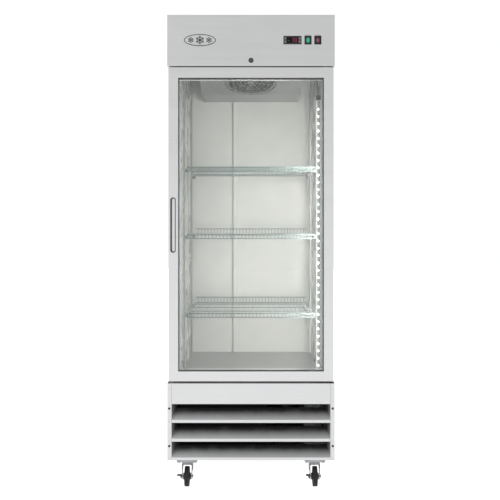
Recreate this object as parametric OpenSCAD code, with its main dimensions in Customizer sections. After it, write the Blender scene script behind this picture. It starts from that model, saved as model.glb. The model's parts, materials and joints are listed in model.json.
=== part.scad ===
// One-section reach-in refrigerator with a glass door, on four casters.
// Millimetres. +Z is up, the front faces -Y, +X is the hinge side, and the origin is on the floor
// under the middle of the cabinet. Heights in the values below count from a level riser_h over the
// floor: the last lines raise the whole cabinet by that much, and the casters stand under it.

/* [Cabinet] */
// Overall width
body_w = 735; // [700:1:800]
// Overall depth, from the lock's face to the end of the cord inlet
body_d = 820; // [800:1:860]
// Height of the top panel
body_h = 2066; // [2050:1:2120]
// Thickness of an insulated side wall with its skins
wall_t = 53.5; // [48:0.5:56]
// Thickness of the stainless sheet and of the liner
sheet_t = 1.2; // [0.8:0.1:1.5]
// Height of the base's underside
base_z = 112; // [112:1:114]
// Height of the storage space's floor
floor_z = 470; // [466:1:474]
// Height of the storage space's ceiling
ceiling_z = 1996; // [1990:1:2000]

/* [Front] */
// Depth of the door zone, from the cabinet's face to the door's skin
door_zone = 63; // [62:1:66]
// Top of the louvred panel
panel_top = 449.5; // [448:0.5:450]
// Bottom edge of the header
header_z = 1841; // [1841:1:1843]
// Half the width of the louvred panel between its posts
panel_half = 349.5; // [340:0.5:350]
// Height of one louvre opening
louvre_open = 70; // [60:1:72]
// Distance from one louvre to the next
louvre_pitch = 82.4; // [80:0.1:83]

/* [Door] */
// Door width
door_w = 724; // [720:1:726]
// Bottom of the door
door_z0 = 459; // [458:0.5:460]
// Top of the door
door_z1 = 1836; // [1834:0.5:1836]
// Visible width of each stile
stile_w = 42.5; // [41:0.5:44]
// Visible height of the top rail
top_rail = 46; // [44:1:48]
// Visible height of the bottom rail
bottom_rail = 43; // [41:1:45]
// Height of the handle's middle
handle_z = 1144; // [1000:1:1250]
// Length of the handle's recess
handle_len = 247; // [200:1:260]

/* [Shelves] */
// Pitch of the pilaster slots
slot_pitch = 25.8; // [25:0.1:26]
// Slots under each shelf, counted from the pilaster's foot
shelf_slots = [9, 23, 35];
// Shelf width
shelf_w = 590; // [560:1:592]
// Shelf depth
shelf_d = 549; // [500:1:555]
// Number of front-to-back wires in a shelf
shelf_wires = 34; // [16:1:36]

/* [Casters] */
// Height of the risers between the base and the casters
riser_h = 24; // [20:1:30]
// Wheel radius
wheel_r = 44; // [42:0.5:44]
// Half the distance between casters across the cabinet
caster_x = 286; // [270:1:290]
// Half the distance between casters front to back
caster_y = 305; // [290:1:310]
// Distance from the swivel axis to the wheel's axle
trail = 28; // [20:1:30]

/* [Hidden] */
$fn = 48;

gap = 0.2;                              // between neighbouring solids of one node
half_w = body_w / 2;
face_y = -body_d / 2 + 3;               // skin of the door, header and louvred panel
cab_y = face_y + door_zone;             // face of the insulated cabinet
back_y = body_d / 2 - 6;                // skin of the back panel
in_x = half_w - sheet_t;                // inside of the outer side panels
liner_x = half_w - wall_t;              // inside of the liner's side walls
rear_y = back_y - 54;                   // inside of the liner's rear wall
pan_z = floor_z - 54;                   // underside of the bottom pan
sill_z = floor_z + 14;                  // bottom of the door opening
head_z = ceiling_z - 190;               // top of the door opening
head_y = cab_y + 54;                    // inner face of the wall over the opening
top_z = body_h - sheet_t;               // underside of the top panel

steel = [0.80, 0.81, 0.82];
white = [0.93, 0.94, 0.94];
black = [0.10, 0.10, 0.11];
zinc = [0.72, 0.73, 0.75];
copper = [0.72, 0.45, 0.30];
glass_green = [0.75, 0.86, 0.83, 0.35];

// ---- Shared shapes ----

module slab(x, y, z) translate([x[0], y[0], z[0]])
    cube([x[1] - x[0], y[1] - y[0], z[1] - z[0]]);

module rod_x(x, y, z, r, sides = 48) translate([x[0], y, z]) rotate([0, 90, 0])
    cylinder(r = r, h = x[1] - x[0], $fn = sides);

module rod_y(x, y, z, r, sides = 48) translate([x, y[0], z]) rotate([-90, 0, 0])
    cylinder(r = r, h = y[1] - y[0], $fn = sides);

module rod_z(x, y, z, r, sides = 48) translate([x, y, z[0]])
    cylinder(r = r, h = z[1] - z[0], $fn = sides);

// A flat outline in X and Z, given its thickness along Y.
module front_plate(y) translate([0, y[1], 0]) rotate([90, 0, 0])
    linear_extrude(y[1] - y[0]) children();

// A section in Y and Z, carried along X.
module side_profile(x) translate([x[0], 0, 0]) rotate([90, 0, 90])
    linear_extrude(x[1] - x[0]) children();

module rect(x, z) translate([x[0], z[0]]) square([x[1] - x[0], z[1] - z[0]]);

module both_sides() { children(); mirror([1, 0, 0]) children(); }

// A flat ring in X and Z between an outer and an inner rectangle.
module ring_plate(y, outer_x, outer_z, inner_x, inner_z) front_plate(y) difference() {
    rect([-outer_x, outer_x], outer_z);
    rect([-inner_x, inner_x], inner_z);
}

// ---- Cabinet ----

vent_rows = 9;
gland_x = -300;
gland_z = 190;

module outer_panels() color(steel) {
    both_sides() slab([in_x, half_w], [cab_y, back_y], [base_z, top_z - gap]);
    slab([-half_w, half_w], [cab_y, back_y], [top_z, body_h]);
    slab([-in_x + gap, in_x - gap], [cab_y, back_y - sheet_t - gap], [pan_z, pan_z + sheet_t]);
    back_panel();
}

module back_panel() front_plate([back_y - sheet_t, back_y]) difference() {
    rect([-in_x + gap, in_x - gap], [base_z, top_z - gap]);
    for (row = [0 : vent_rows - 1], column = [-1 : 1])
        translate([column * 150 + 60, 160 + row * 22]) square([120, 8], center = true);
    translate([gland_x, gland_z]) circle(r = 9.2);
    for (p = back_screws) translate(p) circle(r = 2.2);
}

back_screws = [for (side = [-1, 1], z = [150, 395, 700, 1100, 1500, 1900, 2040])
    [side * (in_x - 20), z]];

// Foam blocks that fill the walls.
foam_x = liner_x + sheet_t;
foam_y = [cab_y + sheet_t, back_y - sheet_t];
foam_z = [pan_z + sheet_t, top_z];

module insulation() color([0.93, 0.88, 0.70]) {
    both_sides() slab([foam_x, in_x], foam_y, foam_z);
    slab([-foam_x + gap, foam_x - gap], [rear_y + sheet_t, foam_y[1]], foam_z);
    slab([-foam_x + gap, foam_x - gap], [foam_y[0], rear_y + sheet_t - gap],
         [foam_z[0], floor_z - sheet_t]);
    slab([-foam_x + gap, foam_x - gap], [foam_y[0], rear_y + sheet_t - gap],
         [ceiling_z + sheet_t, top_z]);
    slab([-foam_x + gap, foam_x - gap], [foam_y[0], head_y - sheet_t],
         [head_z + sheet_t, ceiling_z + sheet_t - gap]);
}

// The liner's tub with a raised sill, and its flange over the front of the foam.
module inner_liner() color(white) {
    t = sheet_t;
    difference() {
        side_profile([-liner_x - t, liner_x + t]) polygon([
            [cab_y, floor_z - t], [rear_y + t, floor_z - t], [rear_y + t, ceiling_z + t],
            [head_y - t, ceiling_z + t], [head_y - t, head_z + t], [cab_y, head_z + t]]);
        side_profile([-liner_x, liner_x]) polygon([
            [cab_y - 1, sill_z], [cab_y + 20, sill_z], [cab_y + 24, floor_z], [rear_y, floor_z],
            [rear_y, ceiling_z], [head_y, ceiling_z], [head_y, head_z], [cab_y - 1, head_z]]);
    }
    ring_plate([cab_y, cab_y + t], in_x - gap, [foam_z[0], foam_z[1] - gap],
               liner_x, [sill_z, head_z]);
}

// ---- Evaporator, under the ceiling ----

duct_half = 251;                        // half the width of the housing
duct_z = ceiling_z - 188;               // flat underside, at the rear
duct_bend = 123;                        // where the underside starts to slope
duct_front = -150;                      // front of the housing
duct_rise = duct_z + 88;                // underside at the front
duct_slope = atan2(duct_rise - duct_z, duct_bend - duct_front);
fan_y = -10;
fan_z = duct_z + (duct_bend - fan_y) * tan(duct_slope);
fan_hole = 115;
cover_t = 1.5;

// Z = 0 is the sloping underside's outer face, and +Z points into the housing.
module at_evaporator_fan() translate([0, fan_y, fan_z]) rotate([-duct_slope, 0, 0]) children();

// The housing's section, drawn smaller by inset for its inside, which is open to the ceiling.
module evaporator_section(inset) polygon([
    [duct_front + inset, ceiling_z - gap + inset], [duct_front + inset, duct_rise + inset],
    [duct_bend, duct_z + inset], [rear_y - gap - inset, duct_z + inset],
    [rear_y - gap - inset, ceiling_z - gap + inset]]);

module evaporator_cover() color(white) difference() {
    side_profile([-duct_half, duct_half]) evaporator_section(0);
    side_profile([-duct_half + cover_t, duct_half - cover_t]) evaporator_section(cover_t);
    at_evaporator_fan() translate([0, 0, -5]) cylinder(r = fan_hole, h = 12);
}

guard_rings = [30, 50, 70, 90, 110, 129];

module fan_guard() color(zinc) at_evaporator_fan() {
    for (r = guard_rings) translate([0, 0, -7]) difference() {
        cylinder(r = r + 1.5, h = 3);
        translate([0, 0, -1]) cylinder(r = r - 1.5, h = 5);
    }
    for (turn = [15 : 45 : 150]) rotate(turn) translate([-129, -1.4, -5.6]) cube([258, 2.8, 3]);
    for (turn = [37 : 90 : 360]) rotate(turn) translate([127.2, -4, -6.2]) cube([6, 8, 6]);
    translate([0, 0, -7.4]) cylinder(r = 16, h = 5.4);
}

module fan_rotor(r, hub_r, depth, blades, shaft) {
    cylinder(r = hub_r, h = depth);
    translate([0, 0, depth - 1]) cylinder(r = 3, h = shaft + 1);
    for (turn = [0 : 360 / blades : 359]) rotate(turn) intersection() {
        cylinder(r = r, h = depth);
        translate([hub_r - 2, -r * 0.33, depth / 2 - 1]) rotate([24, 0, 0])
            cube([r, r * 0.62, 2]);
        translate([0, -r * 0.4, -1]) cube([r, r * 0.8, depth + 2]);
    }
}

module evaporator_fan_blade() color(black) at_evaporator_fan() translate([0, 0, 5])
    fan_rotor(106, 20, 26, 5, 14);

module evaporator_fan_motor() color([0.35, 0.36, 0.38]) at_evaporator_fan() difference() {
    union() {
        translate([0, 0, 33]) cylinder(r = 34, h = 44);
        translate([0, 0, 77]) cylinder(r = 22, h = 6);
        for (turn = [45 : 90 : 359]) rotate(turn) {
            translate([25, -6, 34]) cube([99, 12, 3]);
            translate([121, -6, cover_t + 0.6]) cube([3, 12, 34]);
            translate([112, -6, cover_t + 0.6]) cube([12, 12, 2]);
        }
    }
    translate([0, 0, 32]) cylinder(r = 3.06, h = 16);
}

// A block of fins: a comb in X and Z, joined by two plates.
module fin_pack(x, pitch, fin_t, z, webs, web_t) {
    for (p = [x[0] : pitch : x[1] - fin_t]) rect([p, p + fin_t], z);
    for (w = webs) rect([x[0], x[1]], [w, w + web_t]);
}

module evaporator_coil() color([0.78, 0.79, 0.80]) {
    front_plate([150, 320]) fin_pack([-228, 228], 12, 2, [1835, 1975], [1868, 1902, 1936], 6);
    for (side = [-1, 1]) slab([side * 231 - 2.5, side * 231 + 2.5], [145, 325], [duct_z + 2, 1980]);
}

module wiring_duct() color(white) translate([-83, 0, floor_z + 2])
    linear_extrude(duct_z - floor_z - 4) polygon([
        [-13.5, rear_y - gap], [-13.5, rear_y - 9], [-10.5, rear_y - 12],
        [10.5, rear_y - 12], [13.5, rear_y - 9], [13.5, rear_y - gap]]);

// ---- Lamp strip on the right wall ----

lamp_z = [492, 1708];
lamp_pitch = 33;
lamp_at = [liner_x - 9.9, cab_y + 33];
lamp_turn = -48;

module led_channel() color(steel) translate([0, 0, lamp_z[0]])
    linear_extrude(lamp_z[1] - lamp_z[0]) polygon([
        [liner_x - gap, cab_y + 22], [liner_x - gap, cab_y + 50],
        [liner_x - 20, cab_y + 50], [liner_x - 20, cab_y + 44]]);

module led_lamps() color([1, 1, 0.96]) translate([lamp_at[0], lamp_at[1], 0])
    rotate(lamp_turn) {
        slab([-7, 7], [-1.7, -gap], [lamp_z[0] + 4, lamp_z[1] - 4]);
        for (z = [lamp_z[0] + 20 : lamp_pitch : lamp_z[1] - 15])
            slab([-2.5, 2.5], [-3, -1.7], [z - 2.5, z + 2.5]);
    }

// A round tube along points, as one closed surface.
function unit(v) = v / norm(v);
function tangent(p, i) = unit(p[min(i + 1, len(p) - 1)] - p[max(i - 1, 0)]);
function across(t) = unit(cross(t, abs(t[2]) < 0.9 ? [0, 0, 1] : [1, 0, 0]));
function tube_ring(p, t, r, n) = [for (k = [0 : n - 1])
    p + r * cos(360 * k / n) * across(t) + r * sin(360 * k / n) * cross(t, across(t))];
// Corner cutting: each pass replaces a corner by two points.
function soften(p, passes) = passes == 0 ? p : soften(concat([p[0]],
    [for (i = [0 : len(p) - 2]) each [p[i] * 0.75 + p[i + 1] * 0.25, p[i] * 0.25 + p[i + 1] * 0.75]],
    [p[len(p) - 1]]), passes - 1);

module tube(points, r, sides = 8) {
    rings = len(points);
    polyhedron(
        points = [for (i = [0 : rings - 1]) each tube_ring(points[i], tangent(points, i), r, sides)],
        faces = concat(
            [[for (k = [0 : sides - 1]) k]],
            [for (i = [0 : rings - 2], k = [0 : sides - 1]) [
                i * sides + k, (i + 1) * sides + k,
                (i + 1) * sides + (k + 1) % sides, i * sides + (k + 1) % sides]],
            [[for (k = [sides - 1 : -1 : 0]) (rings - 1) * sides + k]]));
}

plug_z = lamp_z[1] + gap;
lead_route = [
    [304, cab_y + 40, 1730], [304, cab_y + 41, 1744], [303.5, cab_y + 45, 1760],
    [302, cab_y + 53, 1776], [299.5, cab_y + 62, 1792], [296.5, cab_y + 70, 1808],
    [292.5, cab_y + 76, 1823], [288.5, cab_y + 79, 1837], [285, cab_y + 78, 1849],
    [282.5, cab_y + 73.5, 1859], [281.3, cab_y + 66, 1865.5], [281, cab_y + 54.3, 1868]];

module led_lead() color(black) {
    slab([liner_x - 19, liner_x - 1], [cab_y + 30, cab_y + 49], [plug_z, 1729.8]);
    tube(lead_route, 2.6);
}

// ---- Shelves and what holds them ----

pilaster_y = [-200, 250];
pilaster_z = [480, 1795];
pilaster_x = liner_x - 8;               // inner face of a pilaster
slot_h = 12;
function slot_z(n) = pilaster_z[0] + slot_pitch * (n + 0.5);

module shelf_pilasters() color(steel) both_sides() for (y = pilaster_y) difference() {
    slab([pilaster_x, liner_x - gap], [y - 10, y + 10], pilaster_z);
    slab([pilaster_x + 1.5, liner_x], [y - 8.5, y + 8.5], [pilaster_z[0] - 1, pilaster_z[1] + 1]);
    for (n = [0 : 49]) slab([pilaster_x - 1, pilaster_x + 2], [y - 1.6, y + 1.6],
                            [slot_z(n) - slot_h / 2, slot_z(n) + slot_h / 2]);
}

frame_r = 3.2;                          // radius of a shelf's frame rods
wire_r = 1.7;                           // radius of a shelf's wires
rest_z = 11;                            // top of a clip over its slot's middle
weld = 0.5;                             // how deep a wire sinks into the rod it is welded to
cross_rods = [0.19, 0.50, 0.83];        // where the cross rods lie, as shares of a shelf's depth
back_stop = 32;                         // height of the upturned rear edge

module shelf_clips() color(zinc) both_sides() for (n = shelf_slots, y = pilaster_y) {
    slab([pilaster_x - 16, pilaster_x - gap], [y - 7, y + 7],
         [slot_z(n) - 5, slot_z(n) + rest_z - gap]);
    slab([pilaster_x - gap - 0.1, pilaster_x + 3], [y - 1.2, y + 1.2], [slot_z(n) - 4, slot_z(n) + 4]);
}

module wire_shelf(n) color([0.80, 0.84, 0.84]) {
    z = slot_z(n) + rest_z + frame_r;
    x = shelf_w / 2 - frame_r;
    y = [-250, -250 + shelf_d];
    wire_z = z + frame_r + wire_r - weld;
    lip_z = z - 17;
    pitch = 2 * (x - 14) / (shelf_wires - 1);
    both_sides() rod_y(x, y, z, frame_r, 8);
    for (end = [y[0] + frame_r, y[1] - frame_r])
        rod_x([-x, x], end, z, frame_r, 8);
    for (share = cross_rods) rod_x([-x, x], y[0] + share * shelf_d, z + 0.6, 2.6, 8);
    for (i = [0 : shelf_wires - 1]) {
        wire_x = -x + 14 + i * pitch;
        rod_y(wire_x, [y[0] - wire_r, y[1]], wire_z, wire_r, 8);
        rod_z(wire_x, y[0] - wire_r + weld, [lip_z - 3, wire_z], wire_r, 8);
        rod_z(wire_x, y[1] - wire_r - 0.3, [wire_z + wire_r + gap, z + back_stop], wire_r, 8);
    }
    rod_x([-x, x], y[0] + 2.6 - weld, lip_z, 2.6, 8);
    rod_x([-x, x], y[1] - 2 * wire_r - 2.6 + weld, z + back_stop - 3, 2.6, 8);
}

module upper_shelf() wire_shelf(shelf_slots[2]);
module middle_shelf() wire_shelf(shelf_slots[1]);
module lower_shelf() wire_shelf(shelf_slots[0]);

// ---- Header, controls and lock ----

control_z = header_z + 114;             // middle height of the controls
controller_x = 182;
switch_x = [250, 293];
rocker_y = face_y + 4;                  // pivot of a rocker
rocker_tilt = 7;
lock_z = header_z + 25;
cam_len = 38;
cam_slot = [[-11, 36], [face_y + 8, face_y + 16]];

module header_cover() color(steel) difference() {
    slab([-half_w, half_w], [face_y, cab_y], [header_z, body_h]);
    slab([-in_x, in_x], [face_y + sheet_t, cab_y + 1], [header_z + sheet_t, top_z]);
    slab([-in_x, in_x], [cab_y - 7, cab_y + 1], [header_z - 1, header_z + 2 * sheet_t]);
    slab([controller_x - 35.7, controller_x + 35.7], [face_y - 1, face_y + 2],
         [control_z - 14.7, control_z + 14.7]);
    for (x = switch_x) slab([x - 11.8, x + 11.8], [face_y - 1, face_y + 2],
                            [control_z - 14.8, control_z + 14.8]);
    rod_y(0, [face_y - 1, face_y + 2], lock_z, 9.1);
    slab(cam_slot[0], cam_slot[1], [header_z - 1, header_z + 2]);
}

key_x = 31.5;
key_z = 7;
bezel_y = face_y - 2.5;

module controller_body() color(black) difference() {
    translate([controller_x, 0, control_z]) {
        slab([-39.5, 39.5], [bezel_y, face_y], [-18, 18]);
        slab([-35.5, 35.5], [face_y, face_y + 55], [-14.5, 14.5]);
    }
    translate([controller_x, 0, control_z]) {
        slab([-25, 25], [bezel_y - 1, bezel_y + 1.5], [-12, 12]);
        for (x = [-key_x, key_x], z = [-key_z, key_z])
            slab([x - 4.1, x + 4.1], [bezel_y - 1, face_y + 2.6], [z - 5.1, z + 5.1]);
    }
}

module controller_display() color([0.03, 0.02, 0.02]) translate([controller_x, 0, control_z])
    slab([-24.8, 24.8], [bezel_y + 0.3, bezel_y + 1.5], [-11.8, 11.8]);

module key_cap(x, z) color([0.62, 0.63, 0.65])
    translate([controller_x + x, 0, control_z + z])
        slab([-3.8, 3.8], [bezel_y - 0.5, face_y + 1.6], [-4.8, 4.8]);

module key_set() key_cap(-key_x, key_z);
module key_defrost() key_cap(-key_x, -key_z);
module key_up() key_cap(key_x, key_z);
module key_down() key_cap(key_x, -key_z);

module switch_housings() color(black) for (x = switch_x) difference() {
    translate([x, 0, control_z]) {
        slab([-15.5, 15.5], [face_y - 2, face_y], [-19, 19]);
        slab([-11.6, 11.6], [face_y, face_y + 22], [-14.6, 14.6]);
    }
    slab([x - 10.3, x + 10.3], [face_y - 3, face_y + 13], [control_z - 13.7, control_z + 13.7]);
    rod_x([x - 11.4, x + 11.4], rocker_y, control_z, 1.3);
}

// A rocker stands with its top pressed in.
module rocker(x) translate([x, rocker_y, control_z]) rotate([-rocker_tilt, 0, 0]) {
    side_profile([-9.9, 9.9]) polygon([
        [-5, -12.4], [-3.4, 0], [-5, 12.4], [0, 12.4], [4, 6], [4, -6], [0, -12.4]]);
    rod_x([-11.2, 11.2], 0, 0, 1.24);
}

module power_rocker() color([0.15, 0.65, 0.45]) rocker(switch_x[0]);
module lamp_rocker() color([0.35, 0.18, 0.22]) rocker(switch_x[1]);

module lock_housing() color([0.18, 0.18, 0.20]) difference() {
    union() {
        rod_y(0, [-body_d / 2, face_y], lock_z, 11);
        rod_y(0, [face_y, face_y + 10], lock_z, 9);
        rod_y(0, [face_y + sheet_t + gap, face_y + 6], lock_z, 13, 6);
    }
    rod_y(0, [-body_d / 2 - 1, face_y + 11], lock_z, 6.05);
}

module lock_barrel() color(zinc) {
    cam_y = [face_y + 10.6, face_y + 13.6];
    difference() {
        rod_y(0, [-body_d / 2 + 0.2, cam_y[0] + 0.1], lock_z, 6);
        slab([-0.7, 0.7], [-body_d / 2 - 1, -body_d / 2 + 4], [lock_z - 3.5, lock_z + 3.5]);
    }
    front_plate(cam_y) translate([0, lock_z]) {
        circle(r = 7.5);
        rect([0, cam_len - 6], [-6, 6]);
        translate([cam_len - 6, 0]) circle(r = 6);
    }
}

// ---- Machine compartment ----

base_rail = base_z + 30;

module base_frame() color(zinc) difference() {
    slab([-in_x + gap, in_x - gap], [cab_y + gap, back_y - sheet_t - gap], [base_z, base_rail]);
    slab([-in_x + 2.2, in_x - 2.2], [cab_y + 2.2, back_y - sheet_t - 2.2],
         [base_z + 2, base_rail + 1]);
}

caster_centres = [for (y = [-caster_y, caster_y], x = [-caster_x, caster_x]) [x, y]];
caster_bolts = [for (x = [-36, 36], y = [-28, 28]) [x, y]];
plate_z = base_z - 3;

// Casters and all that bolts to them hang a riser's height lower than the base.
module at_caster(i) translate([caster_centres[i][0], caster_centres[i][1], -riser_h]) children();

// A short box section under the base, open to the front and the back, for the nuts.
module caster_risers() color(zinc) for (i = [0 : 3]) at_caster(i) difference() {
    slab([-46, 46], [-42, 42], [base_z, base_z + riser_h]);
    slab([-44, 44], [-43, 43], [base_z + 2, base_z + riser_h - 2]);
    for (b = caster_bolts) rod_z(b[0], b[1], [base_z - 1, base_z + 3], 4.1);
}

module caster_plates() color(zinc) for (i = [0 : 3]) at_caster(i)
    difference() {
        union() {
            slab([-46, 46], [-42, 42], [plate_z, base_z]);
            translate([0, 0, plate_z - 6]) cylinder(r = 27, h = 6);
        }
        translate([0, 0, plate_z - 7]) cylinder(r = 6.05, h = 12);
        for (b = caster_bolts) rod_z(b[0], b[1], [plate_z - 1, base_z + 1], 4.1);
    }

// One louvre: an open scoop whose blade curves up and back from the lip under it.
lip_h = louvre_pitch - louvre_open;
louvre_top = base_z + 3 * louvre_pitch;
blade_depth = 52;
blade_rise = 44;
blade_steps = 8;
blade_end = 18;                         // how far a scoop's end leans in
seam = 0.8;                             // between the panel and its posts

function blade_point(z, i, inset) = let (a = 90 * i / blade_steps) [
    face_y + inset + (blade_depth - inset) * sin(a / 2) * sqrt(2),
    z + (blade_rise - inset) * sin(a)];

module louvre(z) {
    polygon(concat(
        [for (i = [0 : blade_steps]) blade_point(z, i, 0)],
        [for (i = [blade_steps : -1 : 0]) blade_point(z - 1.4, i, 1.4)]));
    rect([face_y, face_y + sheet_t], [z - lip_h, z + 0.4]);
    rect([face_y, face_y + 9], [z - lip_h, z - lip_h + sheet_t]);
}

module louvre_panel() color(steel) {
    side_profile([-panel_half + seam, panel_half - seam]) {
        rect([face_y, face_y + sheet_t], [louvre_top, panel_top]);
        rect([face_y, cab_y - 8], [panel_top - sheet_t, panel_top]);
        rect([face_y, face_y + 9], [louvre_top, louvre_top + sheet_t]);
        for (i = [1 : 3]) louvre(louvre_top - i * louvre_pitch + lip_h);
    }
    both_sides() translate([panel_half - seam, face_y, base_z])
        linear_extrude(panel_top - base_z - sheet_t) polygon([
            [0, 0], [0, 3], [-blade_end, blade_depth + 2],
            [-blade_end - sheet_t, blade_depth + 2], [-sheet_t - 0.2, 2.8], [-sheet_t - 0.2, 0]]);
}

small_screws = [118, 197, 281.5, 374.5, 424];
large_screws = [175, 339.5];
post_x = (panel_half + half_w) / 2;

module panel_posts() color(steel) both_sides() difference() {
    union() {
        slab([panel_half, half_w], [face_y, face_y + sheet_t], [base_z, panel_top]);
        slab([in_x, half_w], [face_y, cab_y - gap], [base_z, panel_top]);
        slab([panel_half, panel_half + sheet_t], [face_y, face_y + 20], [base_z, panel_top]);
    }
    for (z = small_screws) rod_y(post_x, [face_y - 1, face_y + 2], z, 1.6);
    for (z = large_screws) rod_y(post_x, [face_y - 1, face_y + 2], z, 2.6);
}

module screw_y(x, y, z, head_r, head_h, shank_r, length) {
    rod_y(x, [y - head_h, y], z, head_r);
    rod_y(x, [y, y + length], z, shank_r);
}

module screws() color([0.55, 0.56, 0.58]) {
    both_sides() {
        for (z = small_screws) screw_y(post_x, face_y, z, 2.8, 1, 1.5, 8);
        for (z = large_screws) screw_y(post_x, face_y, z, 5.2, 1.8, 2.5, 10);
    }
    for (i = [0 : 3], b = caster_bolts) at_caster(i) {
        rod_z(b[0], b[1], [plate_z - 5, plate_z], 6.5, 6);
        rod_z(b[0], b[1], [plate_z, base_z + 10], 4);
        rod_z(b[0], b[1], [base_z + 2, base_z + 8], 6.5, 6);
    }
    for (x = bracket_bolts, z = [upper_leg_z, lower_leg_z])
        screw_y(x, cab_y - 3, z, 5, 3, 3, 3 - gap);
    for (p = back_screws) {
        rod_y(p[0], [back_y, back_y + 1.8], p[1], 4);
        rod_y(p[0], [back_y - sheet_t, back_y], p[1], 2);
    }
}

compressor_at = [170, 190];

module compressor() color(black) translate([compressor_at[0], compressor_at[1], base_z + 2]) {
    rotate_extrude() polygon([
        [0, 26], [60, 26], [78, 36], [84, 52], [84, 120], [80, 150], [66, 178], [40, 194], [0, 200]]);
    slab([-100, 100], [-62, 62], [16, 19]);
    translate([0, 0, 18]) cylinder(r = 58, h = 10);
    for (x = [-84, 84], y = [-48, 48]) rod_z(x, y, [0, 16.5], 12);
    slab([78, 104], [-28, 28], [70, 130]);
}

coil_x = [-320, 70];
coil_y = [-322, -266];
coil_z = [126, 384];

module condenser_coil() color([0.30, 0.31, 0.33]) translate([0, 0, coil_z[0]])
    linear_extrude(coil_z[1] - coil_z[0]) fin_pack(coil_x, 10, 1.6, coil_y,
        [coil_y[0] + 14, coil_y[0] + 34], 8);

cond_fan = [-125, -262, 252];           // middle of the fan's ring, at its front
cond_ring = 118;

// Z = 0 is the shroud's front face, and +Z points to the rear.
module at_condenser_fan() translate(cond_fan) rotate([-90, 0, 0]) children();

module condenser_fan_frame() color([0.25, 0.26, 0.28]) difference() {
    union() {
        slab([coil_x[0], coil_x[1]], [cond_fan[1], cond_fan[1] + 1.6], coil_z);
        at_condenser_fan() {
            cylinder(r = cond_ring + 2, h = 30);
            translate([0, 0, 50]) cylinder(r = 40, h = 48);
            for (turn = [30 : 120 : 359]) rotate(turn) {
                translate([30, -7, 50]) cube([cond_ring + 2 - 30, 14, 3]);
                translate([cond_ring - 1, -7, 20]) cube([3, 14, 33]);
            }
        }
    }
    at_condenser_fan() {
        translate([0, 0, -1]) cylinder(r = cond_ring, h = 32);
        translate([0, 0, 49]) cylinder(r = 3.06, h = 22);
    }
}

module condenser_fan_blade() color([0.60, 0.61, 0.63]) at_condenser_fan()
    translate([0, 0, 6]) fan_rotor(112, 22, 34, 5, 26);

module condensate_pan() color([0.20, 0.20, 0.21]) {
    difference() {
        slab([-330, -40], [130, 385], [base_z + 14, base_z + 74]);
        slab([-327, -43], [133, 382], [base_z + 17, base_z + 75]);
    }
    for (x = [-200, -60], y = [150, 365]) rod_z(x, y, [base_z + 2, base_z + 14.5], 8);
}

drier_at = [255, 60, 300];

module refrigerant_pipes() color(copper) {
    tube(soften([[170, 190, 315], [170, 190, 345], [170, 60, 350], [100, -60, 350],
                 [100, -240, 350], [100, -292, 350], [72, -292, 350]], 2), 5);
    tube(soften([[72, -292, 150], [110, -292, 150], [255, -260, 150], [255, 20, 160],
                 [drier_at[0], drier_at[1], 200], [drier_at[0], drier_at[1], drier_at[2] - 51]],
                2), 4);
    translate(drier_at) rotate_extrude() polygon([
        [0, -50], [4, -50], [13, -38], [13, 38], [4, 50], [0, 50]]);
    tube(soften([[drier_at[0], drier_at[1], drier_at[2] + 51], [255, 60, 380], [255, 200, 385],
                 [255, 330, 390], [255, 330, pan_z - 1]], 2), 3);
    tube(soften([[170, 275, 220], [170, 330, 220], [170, 350, 300], [200, 350, 380],
                 [200, 350, pan_z - 1]], 2), 6);
}

module cord_inlet() color(black) difference() {
    union() {
        rod_y(gland_x, [back_y - 14, back_y], gland_z, 9);
        rod_y(gland_x, [back_y, back_y + 2.5], gland_z, 15);
        rod_y(gland_x, [back_y + 2, body_d / 2], gland_z, 12, 6);
    }
    rod_y(gland_x, [back_y - 15, body_d / 2 + 1], gland_z, 4.2);
}

// ---- Door ----

door_half = door_w / 2;
door_back = cab_y - 8;                  // rear face of the door's inner frame
frame_back = door_back - 2;
open_x = door_half - stile_w;           // half the glass opening
open_z = [door_z0 + bottom_rail, door_z1 - top_rail];
glass_x = open_x + 6.5;
glass_z = [open_z[0] - 6.5, open_z[1] + 6.5];
glass_y = [face_y + 7.2, face_y + 30];
pane_t = 4;
pivot = [door_half - 12, face_y + 29];
lower_pin = 6;
upper_pin = 5;
handle_x = [-door_half + 6, -door_half + 33.5];
cup_y = face_y + 24;
notch = [[-12, 37], door_z1 - 11];      // where the lock's cam drops in

module stadium(x, z, inset) {
    r = (x[1] - x[0]) / 2;
    cx = (x[0] + x[1]) / 2;
    rect([x[0] + inset, x[1] - inset], [z[0] + r, z[1] - r]);
    for (end = [z[0] + r, z[1] - r]) translate([cx, end]) circle(r = r - inset);
}

handle_span = [handle_z - handle_len / 2, handle_z + handle_len / 2];

module door_frame() color(steel) {
    difference() {
        slab([-door_half, door_half], [face_y, frame_back], [door_z0, door_z1]);
        slab([-door_half + sheet_t, door_half - sheet_t], [face_y + sheet_t, frame_back + 1],
             [door_z0 + sheet_t, door_z1 - sheet_t]);
        front_plate([face_y - 1, face_y + 2]) {
            rect([-open_x, open_x], open_z);
            stadium(handle_x, handle_span, 1.5);
        }
        rod_z(pivot[0], pivot[1], [door_z0 - 1, door_z0 + 2], 9.1);
        rod_z(pivot[0], pivot[1], [door_z1 - 2, door_z1 + 1], 8.1);
        slab([-11, 36], cam_slot[1], [door_z1 - 2, door_z1 + 1]);
    }
    ring_plate([face_y, glass_y[0] - gap], open_x + sheet_t,
               [open_z[0] - sheet_t, open_z[1] + sheet_t], open_x, open_z);
}

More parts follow.
